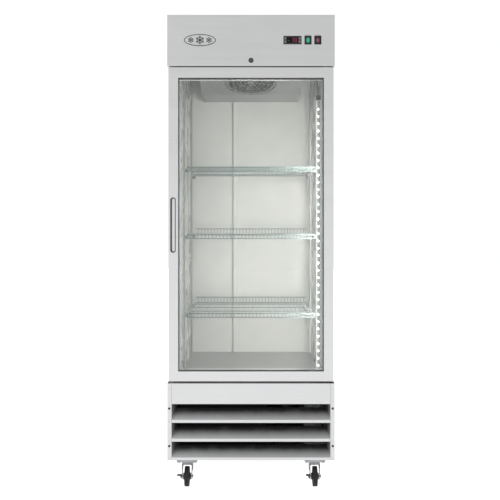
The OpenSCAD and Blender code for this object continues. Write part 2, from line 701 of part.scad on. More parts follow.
module door_core() color([0.90, 0.88, 0.80]) {
    x_out = door_half - sheet_t;
    x_in = glass_x + 1.5;
    y = [face_y + sheet_t, frame_back];
    z = [door_z0 + sheet_t, door_z1 - sheet_t];
    difference() {
        slab([x_in, x_out], y, z);
        rod_z(pivot[0], pivot[1], [z[0] - 1, door_z0 + 28], 9.05);
        rod_z(pivot[0], pivot[1], [door_z1 - 28, z[1] + 1], 8.05);
    }
    slab([-x_out, -x_in], y, [z[0], handle_span[0] - gap]);
    slab([-x_out, -x_in], y, [handle_span[1] + gap, z[1]]);
    slab([-x_out, handle_x[0] - gap], y, handle_span);
    slab([handle_x[0], -x_in], [cup_y + gap, y[1]], handle_span);
    slab([-x_in + gap, x_in - gap], y, [z[0], glass_z[0] - 1.5]);
    slab([-x_in + gap, notch[0][0] - gap], y, [glass_z[1] + 1.5, z[1]]);
    slab([notch[0][0], notch[0][1]], y, [glass_z[1] + 1.5, notch[1]]);
    slab([notch[0][1] + gap, x_in - gap], y, [glass_z[1] + 1.5, z[1]]);
}

bead_in = 3.5;                          // how far the bead shows inside the opening

module door_inner_frame() color(white) {
    inner_z = [open_z[0] + bead_in, open_z[1] - bead_in];
    ring_plate([frame_back, door_back], door_half, [door_z0, door_z1], open_x - bead_in, inner_z);
    ring_plate([glass_y[1], frame_back + 0.1], glass_x, glass_z, open_x - bead_in, inner_z);
}

module door_glass() color(glass_green) for (y = [glass_y[0], glass_y[1] - pane_t])
    slab([-glass_x, glass_x], [y, y + pane_t], glass_z);

module glass_spacer() color(black)
    ring_plate([glass_y[0] + pane_t, glass_y[1] - pane_t], glass_x - 0.5,
               [glass_z[0] + 0.5, glass_z[1] - 0.5], open_x - 4.5,
               [open_z[0] + 4.5, open_z[1] - 4.5]);

module door_gasket() color([0.75, 0.76, 0.77])
    ring_plate([door_back, cab_y - 0.3], door_half - 17, [door_z0 + 3, door_z1 - 5],
               door_half - 40, [sill_z + 2, head_z + 2]);

module handle_cup() color(steel) difference() {
    front_plate([face_y, cup_y]) stadium(handle_x, handle_span, 1.5);
    front_plate([face_y - 1, cup_y - 1.5]) stadium(handle_x, handle_span, 3);
}

module hinge_bushes() color(white) {
    difference() {
        union() {
            rod_z(pivot[0], pivot[1], [door_z0, door_z0 + 28], 9);
            rod_z(pivot[0], pivot[1], [door_z0 - 2, door_z0], 11.5);
        }
        rod_z(pivot[0], pivot[1], [door_z0 - 3, door_z0 + 29], lower_pin + 0.05);
    }
    difference() {
        rod_z(pivot[0], pivot[1], [door_z1 - 28, door_z1], 8);
        rod_z(pivot[0], pivot[1], [door_z1 - 29, door_z1 + 1], upper_pin + 0.05);
    }
}

bracket_x = [door_half - 44, door_half];
bracket_bolts = [bracket_x[0] + 11, bracket_x[1] - 11];
lower_plate = [door_z0 - 7.5, door_z0 - 2.5];
upper_plate = [door_z1 + 0.8, header_z - 0.8];
upper_leg_z = header_z + 24;
lower_leg_z = panel_top - 28;

module hinge_brackets() color(zinc) {
    leg_y = [cab_y - 3, cab_y - gap / 2];
    difference() {
        union() {
            slab(bracket_x, [pivot[1] - 16, leg_y[1]], upper_plate);
            slab(bracket_x, leg_y, [upper_plate[0], upper_leg_z + 14]);
        }
        for (x = bracket_bolts) rod_y(x, [cab_y - 4, cab_y + 1], upper_leg_z, 3.05);
    }
    rod_z(pivot[0], pivot[1], [door_z1 - 24, upper_plate[0] + 0.5], upper_pin);
    difference() {
        union() {
            slab(bracket_x, [pivot[1] - 16, leg_y[1]], lower_plate);
            slab(bracket_x, leg_y, [lower_leg_z - 14, lower_plate[1]]);
        }
        for (x = bracket_bolts) rod_y(x, [cab_y - 4, cab_y + 1], lower_leg_z, 3.05);
    }
    rod_z(pivot[0], pivot[1], [lower_plate[1] - 0.5, door_z0 + 25], lower_pin);
}

// ---- Casters, about their own swivel axis ----

crown_z = [plate_z - 9.3, plate_z - 6.3];
leg_x = [20, 22.5];
axle_r = 4;

module arch(half, foot, top, r) {
    rect([-half, half], [foot, top - r]);
    rect([r - half, half - r], [top - r - 1, top]);
    for (x = [r - half, half - r]) translate([x, top - r]) circle(r = r);
}

module caster_fork() color(zinc) {
    difference() {
        union() {
            rod_z(0, 0, crown_z, 26);
            front_plate([-17, 17]) difference() {
                arch(25, 68, crown_z[1] - 1, 12);
                arch(20, 60, 91, 8);
            }
            for (side = [-1, 1]) side_profile(side > 0 ? leg_x : [-leg_x[1], -leg_x[0]])
                polygon([[17, crown_z[1]], [-17, crown_z[1]], [-trail - 14, wheel_r + 14],
                         [-trail - 13, wheel_r - 6], [-trail - 6, wheel_r - 13],
                         [-trail + 6, wheel_r - 13], [-trail + 13, wheel_r - 6], [2, 74]]);
        }
        rod_x([-30, 30], -trail, wheel_r, axle_r + 0.1);
    }
    rod_z(0, 0, [crown_z[1] - 0.5, base_z - 0.5], 6);
    rod_x([-31, 27], -trail, wheel_r, axle_r);
    rod_x([22.7, 27.5], -trail, wheel_r, 7.2, 6);
    rod_x([-31.5, -27], -trail, wheel_r, 7.2, 6);
}

module caster_wheel() color(black) translate([0, -trail, wheel_r]) rotate([0, 90, 0])
    rotate_extrude() polygon([
        [axle_r + 0.05, -19.6], [15, -19.6], [15, -11], [33, -10], [38, -13], [42, -12.4],
        [43.6, -10], [wheel_r, -7], [wheel_r, 7], [43.6, 10], [42, 12.4], [38, 13], [33, 10],
        [15, 11], [15, 19.6], [axle_r + 0.05, 19.6]]);

// A lever on the axle, outside the fork's left leg, with a tread that sticks out to the left.
module brake_lever() color(black) {
    difference() {
        side_profile([-26.6, -22.9]) {
            translate([-trail, wheel_r]) circle(r = 10);
            polygon([[-trail, wheel_r + 10], [-trail - 34, wheel_r + 19],
                     [-trail - 34, wheel_r + 10], [-trail, wheel_r - 8]]);
        }
        rod_x([-30, -20], -trail, wheel_r, axle_r + 0.05);
    }
    slab([-42, -22.9], [-trail - 40, -trail - 24], [wheel_r + 13, wheel_r + 17]);
}

module front_left_fork() at_caster(0) caster_fork();
module front_right_fork() at_caster(1) caster_fork();
module rear_left_fork() at_caster(2) caster_fork();
module rear_right_fork() at_caster(3) caster_fork();
module front_left_wheel() at_caster(0) caster_wheel();
module front_right_wheel() at_caster(1) caster_wheel();
module rear_left_wheel() at_caster(2) caster_wheel();
module rear_right_wheel() at_caster(3) caster_wheel();
module front_left_brake() at_caster(0) brake_lever();
module front_right_brake() at_caster(1) brake_lever();

translate([0, 0, riser_h]) {
    outer_panels();
    insulation();
    inner_liner();
    header_cover();
    controller_body();
    controller_display();
    key_set();
    key_defrost();
    key_up();
    key_down();
    switch_housings();
    power_rocker();
    lamp_rocker();
    lock_housing();
    lock_barrel();
    led_channel();
    led_lamps();
    led_lead();
    shelf_pilasters();
    shelf_clips();
    upper_shelf();
    middle_shelf();
    lower_shelf();
    evaporator_cover();
    evaporator_coil();
    evaporator_fan_motor();
    evaporator_fan_blade();
    fan_guard();
    wiring_duct();
    base_frame();
    louvre_panel();
    panel_posts();
    screws();
    compressor();
    condenser_coil();
    condenser_fan_frame();
    condenser_fan_blade();
    refrigerant_pipes();
    condensate_pan();
    cord_inlet();
    hinge_brackets();
    hinge_bushes();
    door_frame();
    door_core();
    door_inner_frame();
    door_glass();
    glass_spacer();
    door_gasket();
    handle_cup();
    caster_risers();
    caster_plates();
    front_left_fork();
    front_right_fork();
    rear_left_fork();
    rear_right_fork();
    front_left_wheel();
    front_right_wheel();
    rear_left_wheel();
    rear_right_wheel();
    front_left_brake();
    front_right_brake();
}
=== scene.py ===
"""Looks for the reach-in refrigerator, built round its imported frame. Metres; the front faces -Y."""

import json
import math

import bpy
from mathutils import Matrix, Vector

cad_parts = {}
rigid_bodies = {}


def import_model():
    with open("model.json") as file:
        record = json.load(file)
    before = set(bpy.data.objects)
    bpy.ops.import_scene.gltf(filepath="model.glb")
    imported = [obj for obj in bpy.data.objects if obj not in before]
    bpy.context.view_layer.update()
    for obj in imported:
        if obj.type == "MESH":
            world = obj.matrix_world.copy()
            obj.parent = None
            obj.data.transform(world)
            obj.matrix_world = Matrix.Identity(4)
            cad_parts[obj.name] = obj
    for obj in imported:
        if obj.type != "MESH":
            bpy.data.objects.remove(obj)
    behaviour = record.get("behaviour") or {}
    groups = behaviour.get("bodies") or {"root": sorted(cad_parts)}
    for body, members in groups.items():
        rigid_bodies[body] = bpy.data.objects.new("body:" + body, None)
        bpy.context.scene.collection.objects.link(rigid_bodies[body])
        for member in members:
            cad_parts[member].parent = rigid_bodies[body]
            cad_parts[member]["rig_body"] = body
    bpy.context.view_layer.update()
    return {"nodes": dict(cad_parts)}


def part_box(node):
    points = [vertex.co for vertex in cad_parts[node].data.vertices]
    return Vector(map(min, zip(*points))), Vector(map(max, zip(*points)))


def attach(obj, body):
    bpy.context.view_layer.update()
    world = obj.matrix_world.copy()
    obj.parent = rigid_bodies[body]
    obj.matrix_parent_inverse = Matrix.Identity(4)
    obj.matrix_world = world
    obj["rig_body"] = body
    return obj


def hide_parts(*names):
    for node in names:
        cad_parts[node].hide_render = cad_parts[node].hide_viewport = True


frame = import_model()
MM = 0.001

FACE_Y = -0.407  # skin of the door, header and louvred panel
CAB_Y = -0.344  # face of the insulated cabinet
BACK_Y = 0.404
PLATE_Z = 0.112  # top of the casters' plates
CONTROL_Z = 1.979
CONTROLLER_X = 0.182
SWITCH_X = (0.250, 0.293)
BEZEL_Y = FACE_Y - 0.0025
POST_X = 0.3585
LEAD_D = 0.0052
LENS_RADIUS = 4.8 * MM
LENS_PITCH = 33 * MM
FIRST_LENS_Z = 0.536
BADGE_X = -0.224
BADGE_HALF = (0.070, 0.0259)  # half its width, and half its height
BADGE_RIM = 0.0645  # where its enamelled rim starts, out from the middle
CASTER_BOLT = (0.036, 0.028)  # from the middle of a caster's plate
LEAD_ROUTE = [
    (0.281, -0.2897, 1.892), (0.2813, -0.278, 1.8895), (0.2825, -0.2705, 1.883), (0.285, -0.266, 1.873),
    (0.2885, -0.265, 1.861), (0.2925, -0.268, 1.847), (0.2965, -0.274, 1.832), (0.2995, -0.282, 1.816),
    (0.302, -0.291, 1.800), (0.3035, -0.299, 1.784), (0.304, -0.303, 1.768), (0.304, -0.304, 1.754),
]
CASTERS = {
    "front_left": (-0.286, -0.305),
    "front_right": (0.286, -0.305),
    "rear_left": (-0.286, 0.305),
    "rear_right": (0.286, 0.305),
}


# ---- Handling pieces ----


def let_go():
    if bpy.context.mode != "OBJECT":
        bpy.ops.object.mode_set(mode="OBJECT")
    bpy.ops.object.select_all(action="DESELECT")


def take(piece):
    let_go()
    piece.select_set(True)
    bpy.context.view_layer.objects.active = piece
    return piece


def open_up(piece, everything=True):
    """Opens a piece for shaping, with all of it chosen or none of it."""
    take(piece)
    bpy.context.tool_settings.mesh_select_mode = (False, False, True)
    bpy.ops.object.mode_set(mode="EDIT")
    bpy.ops.mesh.select_all(action="SELECT" if everything else "DESELECT")


def close_up():
    bpy.ops.object.mode_set(mode="OBJECT")


def choose(piece, test, kind="faces"):
    """Opens a piece with only the parts chosen that pass the test. A face gives it its place and normal."""
    take(piece)
    mesh = piece.data
    for part in (mesh.vertices, mesh.edges, mesh.polygons):
        part.foreach_set("select", [False] * len(part))
    if kind == "faces":
        for face in mesh.polygons:
            face.select = test(face.center, face.normal)
    elif kind == "edges":
        for edge in mesh.edges:
            a, b = (mesh.vertices[v].co for v in edge.vertices)
            edge.select = test(a, b)
    else:
        for corner in mesh.vertices:
            corner.select = test(corner.co)
    bpy.context.tool_settings.mesh_select_mode = (kind == "corners", kind == "edges", kind == "faces")
    bpy.ops.object.mode_set(mode="EDIT")


def settle(piece):
    """Puts a piece's place into its mesh, so that its object stands unturned at the origin."""
    take(piece)
    bpy.ops.object.transform_apply(location=True, rotation=True, scale=True)
    return piece


def roll_edges(piece, width, segments=2, angle=35):
    take(piece)
    bevel = piece.modifiers.new("edges", "BEVEL")
    bevel.width = width
    bevel.segments = segments
    bevel.limit_method = "ANGLE"
    bevel.angle_limit = math.radians(angle)
    bpy.ops.object.modifier_apply(modifier="edges")
    return piece


def smooth(piece, angle=35):
    """Smooths the rounded parts and keeps the flat ones flat."""
    take(piece)
    bpy.ops.object.shade_smooth_by_angle(angle=math.radians(angle))
    weights = piece.modifiers.new("flats", "WEIGHTED_NORMAL")
    weights.keep_sharp = True
    weights.weight = 90
    bpy.ops.object.modifier_apply(modifier="flats")
    return piece


def copy_of(node, name):
    """A loose copy of a part of the frame, with its corners merged and its flat faces made whole."""
    mesh = frame["nodes"][node].data.copy()
    mesh.materials.clear()
    piece = bpy.data.objects.new(name, mesh)
    bpy.context.scene.collection.objects.link(piece)
    open_up(piece)
    bpy.ops.mesh.remove_doubles(threshold=2e-6)
    bpy.ops.mesh.dissolve_limited(angle_limit=math.radians(0.4))
    close_up()
    for name in list(mesh.attributes.keys()):
        if name.startswith("custom_normal"):
            mesh.attributes.remove(mesh.attributes[name])
    return piece


def body_of(node):
    return frame["nodes"][node]["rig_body"]


def fit(piece, finish, body="cabinet", stands_for=()):
    """Gives a finished piece its material and the body that it moves with."""
    settle(piece)
    piece.data.materials.clear()
    piece.data.materials.append(finish)
    return mount(piece, body, stands_for)


def mount(piece, body="cabinet", stands_for=()):
    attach(piece, body)
    if stands_for:
        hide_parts(*stands_for)
    return piece


def dress(node, finish, width=0.4 * MM, segments=2, angle=35):
    """Stands a copy of a frame part with rolled edges in its place."""
    piece = copy_of(node, node + "_made")
    if width:
        roll_edges(piece, width, segments)
    smooth(piece, angle)
    return fit(piece, finish, body_of(node), [node])


def block(name, low, high):
    """A block between two corners, ready to be shaped."""
    low, high = Vector(low), Vector(high)
    let_go()
    bpy.ops.mesh.primitive_cube_add(size=1, location=(low + high) / 2, scale=high - low)
    piece = bpy.context.active_object
    piece.name = name
    return settle(piece)


def drum(name, centre, radius, length, axis="z", sides=48):
    """A round bar about its middle, ready to be shaped."""
    turn = {"x": (0, math.pi / 2, 0), "y": (math.pi / 2, 0, 0), "z": (0, 0, 0)}[axis]
    let_go()
    bpy.ops.mesh.primitive_cylinder_add(
        vertices=sides, radius=radius, depth=length, location=centre, rotation=turn
    )
    piece = bpy.context.active_object
    piece.name = name
    return settle(piece)


def copy_at(piece, move, name=None):
    twin = piece.copy()
    twin.data = piece.data.copy()
    twin.name = name or piece.name
    bpy.context.scene.collection.objects.link(twin)
    twin.location = Vector(move)
    return settle(twin)


def join(pieces, name):
    let_go()
    for piece in pieces:
        piece.select_set(True)
    bpy.context.view_layer.objects.active = pieces[0]
    if len(pieces) > 1:
        bpy.ops.object.join()
    pieces[0].name = name
    return pieces[0]


def cut(piece, cutter):
    take(piece)
    boolean = piece.modifiers.new("cut", "BOOLEAN")
    boolean.operation = "DIFFERENCE"
    boolean.object = cutter
    bpy.ops.object.modifier_apply(modifier="cut")
    bpy.data.objects.remove(cutter)
    return piece


# ---- Shared effects ----


def add(tree, kind, inputs=None, **settings):
    """Adds a node. Each input is a plain value, or an output to link from."""
    made = tree.nodes.new("ShaderNode" + kind)
    for key, value in settings.items():
        setattr(made, key, value)
    for key, value in (inputs or {}).items():
        if isinstance(value, bpy.types.NodeSocket):
            tree.links.new(value, made.inputs[key])
        else:
            made.inputs[key].default_value = value
    return made


def new_group(name, inputs, outputs):
    tree = bpy.data.node_groups.new(name, "ShaderNodeTree")
    for label, kind, value in inputs:
        socket = tree.interface.new_socket(label, in_out="INPUT", socket_type="NodeSocket" + kind)
        socket.default_value = value
    for label, kind in outputs:
        tree.interface.new_socket(label, in_out="OUTPUT", socket_type="NodeSocket" + kind)
    return tree, tree.nodes.new("NodeGroupInput"), tree.nodes.new("NodeGroupOutput")


def place(tree, group, **inputs):
    made = tree.nodes.new("ShaderNodeGroup")
    made.node_tree = group
    for key, value in inputs.items():
        socket = made.inputs[key.replace("_", " ").capitalize()]
        if isinstance(value, bpy.types.NodeSocket):
            tree.links.new(value, socket)
        else:
            socket.default_value = value
    return made


def span(tree, value, low, high, to_low=0.0, to_high=1.0):
    ends = {"From Min": low, "From Max": high, "To Min": to_low, "To Max": to_high}
    return add(tree, "MapRange", {"Value": value, **ends}).outputs["Result"]


def calc(tree, operation, a, b=0.0):
    return add(tree, "Math", {0: a, 1: b}, operation=operation).outputs[0]


def make_brushing():
    """Long fine streaks along X and Y, as a polishing belt leaves them."""
    tree, into, out = new_group(
        "brushing",
        [("Fineness", "Float", 700.0), ("Run", "Float", 3.0)],
        [("Streak", "Float"), ("Band", "Float")],
    )
    where = add(tree, "TexCoord").outputs["Object"]
    run, fineness = into.outputs["Run"], into.outputs["Fineness"]
    along = add(tree, "CombineXYZ", {0: run, 1: run, 2: fineness})
    level = add(tree, "CombineXYZ", {0: run, 1: fineness, 2: 1.0})
    facing = add(tree, "SeparateXYZ", {0: add(tree, "NewGeometry").outputs["True Normal"]}).outputs[2]
    on_top = calc(tree, "GREATER_THAN", calc(tree, "ABSOLUTE", facing), 0.7)
    streaks = []
    for stretch in (along, level):
        scaled = add(tree, "VectorMath", {0: where, 1: stretch.outputs[0]}, operation="MULTIPLY").outputs[0]
        streaks.append(add(tree, "TexNoise", {"Vector": scaled, "Scale": 1.0, "Detail": 3.0}).outputs[0])
    mixed = add(tree, "Mix", {0: on_top, 2: streaks[0], 3: streaks[1]}, data_type="FLOAT").outputs[0]
    broad = add(tree, "VectorMath", {0: where, 1: (0.6, 0.6, 22.0)}, operation="MULTIPLY").outputs[0]
    band = add(tree, "TexNoise", {"Vector": broad, "Scale": 1.0, "Detail": 2.0}).outputs[0]
    tree.links.new(span(tree, mixed, 0.3, 0.7), out.inputs["Streak"])
    tree.links.new(span(tree, band, 0.35, 0.65), out.inputs["Band"])
    return tree


def make_wipe_marks():
    """Faint cloudy marks that a cloth leaves."""
    tree, into, out = new_group("wipe_marks", [("Size", "Float", 5.0)], [("Mark", "Float")])
    where = add(tree, "TexCoord").outputs["Object"]
    size = into.outputs["Size"]
    cloud = add(tree, "TexNoise", {"Vector": where, "Scale": size, "Detail": 4.0, "Distortion": 1.2})
    tree.links.new(span(tree, cloud.outputs[0], 0.45, 0.75), out.inputs["Mark"])
    return tree


def make_settled_dust():
    """Dust on what faces up, patchy."""
    tree, into, out = new_group("settled_dust", [("Amount", "Float", 0.3)], [("Dust", "Float")])
    where = add(tree, "TexCoord").outputs["Object"]
    up = add(tree, "SeparateXYZ", {0: add(tree, "NewGeometry").outputs["Normal"]}).outputs[2]
    patch = add(tree, "TexNoise", {"Vector": where, "Scale": 40.0, "Detail": 5.0}).outputs[0]
    lying = calc(tree, "MULTIPLY", span(tree, up, 0.35, 0.95), span(tree, patch, 0.3, 0.75))
    tree.links.new(calc(tree, "MULTIPLY", lying, into.outputs["Amount"]), out.inputs["Dust"])
    return tree


def make_edge_rub():
    """The corners that hands, cloths and feet have rubbed."""
    tree, into, out = new_group("edge_rub", [("Amount", "Float", 0.5)], [("Rub", "Float")])
    sharp = span(tree, add(tree, "NewGeometry").outputs["Pointiness"], 0.53, 0.62)
    where = add(tree, "TexCoord").outputs["Object"]
    patch = add(tree, "TexNoise", {"Vector": where, "Scale": 90.0, "Detail": 3.0}).outputs[0]
    rubbed = calc(tree, "MULTIPLY", sharp, span(tree, patch, 0.35, 0.6))
    tree.links.new(calc(tree, "MULTIPLY", rubbed, into.outputs["Amount"]), out.inputs["Rub"])
    return tree


def make_pebble():
    """The fine moulded or sprayed texture of plastic and paint."""
    tree, into, out = new_group(
        "pebble", [("Scale", "Float", 900.0)], [("Height", "Float"), ("Tone", "Float")]
    )
    where = add(tree, "TexCoord").outputs["Object"]
    grain = add(tree, "TexNoise", {"Vector": where, "Scale": into.outputs["Scale"], "Detail": 2.0}).outputs[0]
    tone = add(tree, "TexNoise", {"Vector": where, "Scale": 14.0, "Detail": 3.0}).outputs[0]
    tree.links.new(grain, out.inputs["Height"])
    tree.links.new(span(tree, tone, 0.3, 0.7), out.inputs["Tone"])
    return tree


def make_spangle():
    """The crystal flowers of zinc."""
    tree, into, out = new_group("spangle", [("Scale", "Float", 160.0)], [("Flower", "Float")])
    where = add(tree, "TexCoord").outputs["Object"]
    cells = add(tree, "TexVoronoi", {"Vector": where, "Scale": into.outputs["Scale"]})
    grey = add(tree, "SeparateColor", {0: cells.outputs["Color"]}).outputs[0]
    tree.links.new(grey, out.inputs["Flower"])
    return tree


BRUSHING = make_brushing()
WIPE_MARKS = make_wipe_marks()
SETTLED_DUST = make_settled_dust()
EDGE_RUB = make_edge_rub()
PEBBLE = make_pebble()
SPANGLE = make_spangle()


# ---- Materials ----


def blank(name):
    material = bpy.data.materials.new(name)
    material.use_nodes = True
    tree = material.node_tree
    shader = tree.nodes["Principled BSDF"]
    return material, tree, shader


def shade(colour, amount):
    return tuple(c * amount for c in colour[:3]) + (1.0,)


def mix_colour(tree, factor, a, b):
    return add(tree, "Mix", {0: factor, 6: a, 7: b}, data_type="RGBA").outputs[2]


def bump(tree, shader, height, strength, distance):
    made = add(tree, "Bump", {"Height": height, "Strength": strength, "Distance": distance})
    tree.links.new(made.outputs[0], shader.inputs["Normal"])


def brushed_steel(name, colour, rough, contrast=0.05, fineness=700.0, dust=0.05):
    material, tree, shader = blank(name)
    brush = place(tree, BRUSHING, fineness=fineness)
    streak, band = brush.outputs["Streak"], brush.outputs["Band"]
    wipe = place(tree, WIPE_MARKS, size=4.0).outputs[0]
    lying = place(tree, SETTLED_DUST, amount=dust).outputs[0]
    grain = calc(tree, "ADD", calc(tree, "MULTIPLY", streak, 0.6), calc(tree, "MULTIPLY", band, 0.4))
    metal = mix_colour(tree, grain, shade(colour, 1 - contrast), shade(colour, 1 + contrast))
    dusty = mix_colour(tree, lying, metal, (0.62, 0.60, 0.57, 1))
    tree.links.new(dusty, shader.inputs["Base Color"])
    brushed = span(tree, grain, 0, 1, rough - 0.05, rough + 0.05)
    roughness = calc(tree, "ADD", brushed, calc(tree, "MULTIPLY", wipe, 0.05))
    tree.links.new(roughness, shader.inputs["Roughness"])
    shader.inputs["Metallic"].default_value = 1.0
    bump(tree, shader, streak, 0.12, 0.0002)
    return material


def scoop_steel(name, colour, rough, front, back):
    """Brushed steel inside the scoops, with painted shade: darker, duller and less metallic towards the back
    of each scoop, where the blade above shades it.
    """
    material, tree, shader = blank(name)
    brush = place(tree, BRUSHING, fineness=700.0)
    where = add(tree, "TexCoord").outputs["Object"]
    deep = span(tree, add(tree, "SeparateXYZ", {0: where}).outputs[1], front, back)
    cloud = add(tree, "TexNoise", {"Vector": where, "Scale": 18.0, "Detail": 3.0}).outputs[0]
    clouded = calc(tree, "MULTIPLY", deep, span(tree, cloud, 0.3, 0.7, 0.9, 1.1))
    # painted shade: a cloudy ramp from the lip to 33 mm deep that takes the colour to near black
    painted_depth_shade = calc(tree, "POWER", calc(tree, "MINIMUM", clouded, 1.0), 0.85)
    metal = mix_colour(tree, brush.outputs["Streak"], shade(colour, 0.95), shade(colour, 1.05))
    tree.links.new(mix_colour(tree, painted_depth_shade, metal, (0.035, 0.035, 0.036, 1)), shader.inputs["Base Color"])
    tree.links.new(span(tree, painted_depth_shade, 0, 1, rough, 0.6), shader.inputs["Roughness"])
    tree.links.new(span(tree, painted_depth_shade, 0, 1, 1.0, 0.4), shader.inputs["Metallic"])
    bump(tree, shader, brush.outputs["Streak"], 0.1, 0.0002)
    return material


def zinc_plate(name, colour, rough):
    material, tree, shader = blank(name)
    flower = place(tree, SPANGLE).outputs[0]
    rub = place(tree, EDGE_RUB, amount=0.5).outputs[0]
    lying = place(tree, SETTLED_DUST, amount=0.3).outputs[0]
    metal = mix_colour(tree, flower, shade(colour, 0.88), shade(colour, 1.08))
    worn = mix_colour(tree, rub, metal, (0.85, 0.85, 0.84, 1))
    tree.links.new(mix_colour(tree, lying, worn, (0.42, 0.40, 0.37, 1)), shader.inputs["Base Color"])
    tree.links.new(span(tree, flower, 0, 1, rough - 0.06, rough + 0.08), shader.inputs["Roughness"])
    shader.inputs["Metallic"].default_value = 1.0
    bump(tree, shader, flower, 0.08, 0.0002)
    return material


def coated(
    name, colour, rough, grain=900.0, height=0.15, dust=0.1, metallic=0.0, coat=0.0,
    tone_span=0.06, shine=0.5, wiped=0.1,
):
    """Paint, plastic and other skins of one colour."""
    material, tree, shader = blank(name)
    shader.inputs["Specular IOR Level"].default_value = shine
    skin = place(tree, PEBBLE, scale=grain)
    rub = place(tree, EDGE_RUB, amount=0.35).outputs[0]
    lying = place(tree, SETTLED_DUST, amount=dust).outputs[0]
    tone = mix_colour(tree, skin.outputs["Tone"], shade(colour, 1 - tone_span), shade(colour, 1 + tone_span))
    light = tuple(min(1.0, c * 1.25 + 0.03) for c in colour[:3]) + (1.0,)
    rubbed = mix_colour(tree, rub, tone, light)
    tree.links.new(mix_colour(tree, lying, rubbed, (0.45, 0.43, 0.40, 1)), shader.inputs["Base Color"])
    wipe = place(tree, WIPE_MARKS, size=9.0).outputs[0]
    tree.links.new(span(tree, wipe, 0, 1, rough, min(1.0, rough + wiped)), shader.inputs["Roughness"])
    shader.inputs["Metallic"].default_value = metallic
    shader.inputs["Coat Weight"].default_value = coat
    shader.inputs["Coat Roughness"].default_value = 0.08
    bump(tree, shader, skin.outputs["Height"], height, 0.0003)
    return material


def glowing(name, colour, glow, strength, rough=0.3):
    """A lit plastic lens: its glow is a little uneven."""
    material, tree, shader = blank(name)
    skin = place(tree, PEBBLE, scale=1500.0)
    tinted = mix_colour(tree, skin.outputs["Tone"], shade(colour, 0.92), shade(colour, 1.06))
    tree.links.new(tinted, shader.inputs["Base Color"])
    lit = mix_colour(tree, skin.outputs["Height"], shade(glow, 0.85), shade(glow, 1.0))
    tree.links.new(lit, shader.inputs["Emission Color"])
    shader.inputs["Emission Strength"].default_value = strength
    roughness = span(tree, skin.outputs["Height"], 0, 1, rough - 0.05, rough + 0.1)
    tree.links.new(roughness, shader.inputs["Roughness"])
    return material


def lit_rocker(name, colour, glow, strength, centre, reach):
    """A rocker moulded in clear coloured plastic, with a lamp behind its middle."""
    material, tree, shader = blank(name)
    skin = place(tree, PEBBLE, scale=1500.0)
    where = add(tree, "TexCoord").outputs["Object"]
    about = add(tree, "VectorMath", {0: where, 1: centre}, operation="SUBTRACT").outputs[0]
    shares = tuple(1 / r for r in reach)
    scaled = add(tree, "VectorMath", {0: about, 1: shares}, operation="MULTIPLY").outputs[0]
    away = add(tree, "VectorMath", {0: scaled}, operation="LENGTH").outputs["Value"]
    lamp = span(tree, away, 1.0, 0.25)
    lamp = calc(tree, "MULTIPLY", lamp, span(tree, skin.outputs["Height"], 0, 1, 0.85, 1.0))
    tree.links.new(mix_colour(tree, lamp, (0, 0, 0, 1), shade(glow, 1)), shader.inputs["Emission Color"])
    tinted = mix_colour(tree, skin.outputs["Tone"], shade(colour, 0.92), shade(colour, 1.06))
    tree.links.new(tinted, shader.inputs["Base Color"])
    tree.links.new(span(tree, skin.outputs["Height"], 0, 1, 0.25, 0.4), shader.inputs["Roughness"])
    shader.inputs["Emission Strength"].default_value = strength
    shader.inputs["Specular IOR Level"].default_value = 0.25
    return material


def window_glass(name):
    """Float glass that lets the lamps through, with a few faint wipe marks."""
    material, tree, shader = blank(name)
    wipe = place(tree, WIPE_MARKS, size=3.0).outputs[0]
    tint = mix_colour(tree, wipe, (0.965, 0.98, 0.972, 1), (0.955, 0.975, 0.965, 1))
    tree.links.new(tint, shader.inputs["Base Color"])
    tree.links.new(span(tree, wipe, 0, 1, 0.0, 0.004), shader.inputs["Roughness"])
    shader.inputs["Transmission Weight"].default_value = 1.0
    shader.inputs["IOR"].default_value = 1.5
    clear = add(tree, "BsdfTransparent", {0: (0.88, 0.89, 0.885, 1)})
    path = add(tree, "LightPath")
    through = calc(tree, "MAXIMUM", path.outputs["Is Shadow Ray"], path.outputs["Is Diffuse Ray"])
    both = add(tree, "MixShader", {0: through, 1: shader.outputs[0], 2: clear.outputs[0]})
    tree.links.new(both.outputs[0], tree.nodes["Material Output"].inputs["Surface"])
    return material


def bare_copper(name):
    material, tree, shader = blank(name)
    skin = place(tree, PEBBLE, scale=300.0)
    # copper darkened to brown-black: painted shade for the pipes inside the dark machine compartment
    painted_shade_copper = mix_colour(tree, skin.outputs["Tone"], (0.10, 0.05, 0.035, 1), (0.20, 0.11, 0.075, 1))
    tree.links.new(painted_shade_copper, shader.inputs["Base Color"])
    tree.links.new(span(tree, skin.outputs["Height"], 0, 1, 0.22, 0.42), shader.inputs["Roughness"])
    shader.inputs["Metallic"].default_value = 1.0
    return material


STEEL = brushed_steel("brushed_stainless", (0.74, 0.745, 0.75), 0.30, contrast=0.03)
HEADER_STEEL = brushed_steel("header_stainless", (0.72, 0.725, 0.73), 0.32, contrast=0.025)
PANEL_STEEL = brushed_steel("louvre_stainless", (0.73, 0.735, 0.74), 0.30, contrast=0.03)
# The scoop steel is a darker copy of the panel steel that darkens further with depth: painted shade inside
# the scoops.
SCOOP_PAINTED_SHADE_STEEL = scoop_steel("scoop_painted_shade_stainless", (0.56, 0.565, 0.57), 0.34, FACE_Y, FACE_Y + 0.033)
# Near black for the condenser coil: painted shade for the deep shade of the machine compartment seen through
# the slots. The vent screen shares it.
PAINTED_SHADE_BLACK = coated("coil_painted_shade_black", (0.012, 0.012, 0.013), 0.5, grain=300.0, dust=0.25, shine=0.2)
DARK_SCREW = coated("dark_screw", (0.05, 0.05, 0.055), 0.35, metallic=0.7)
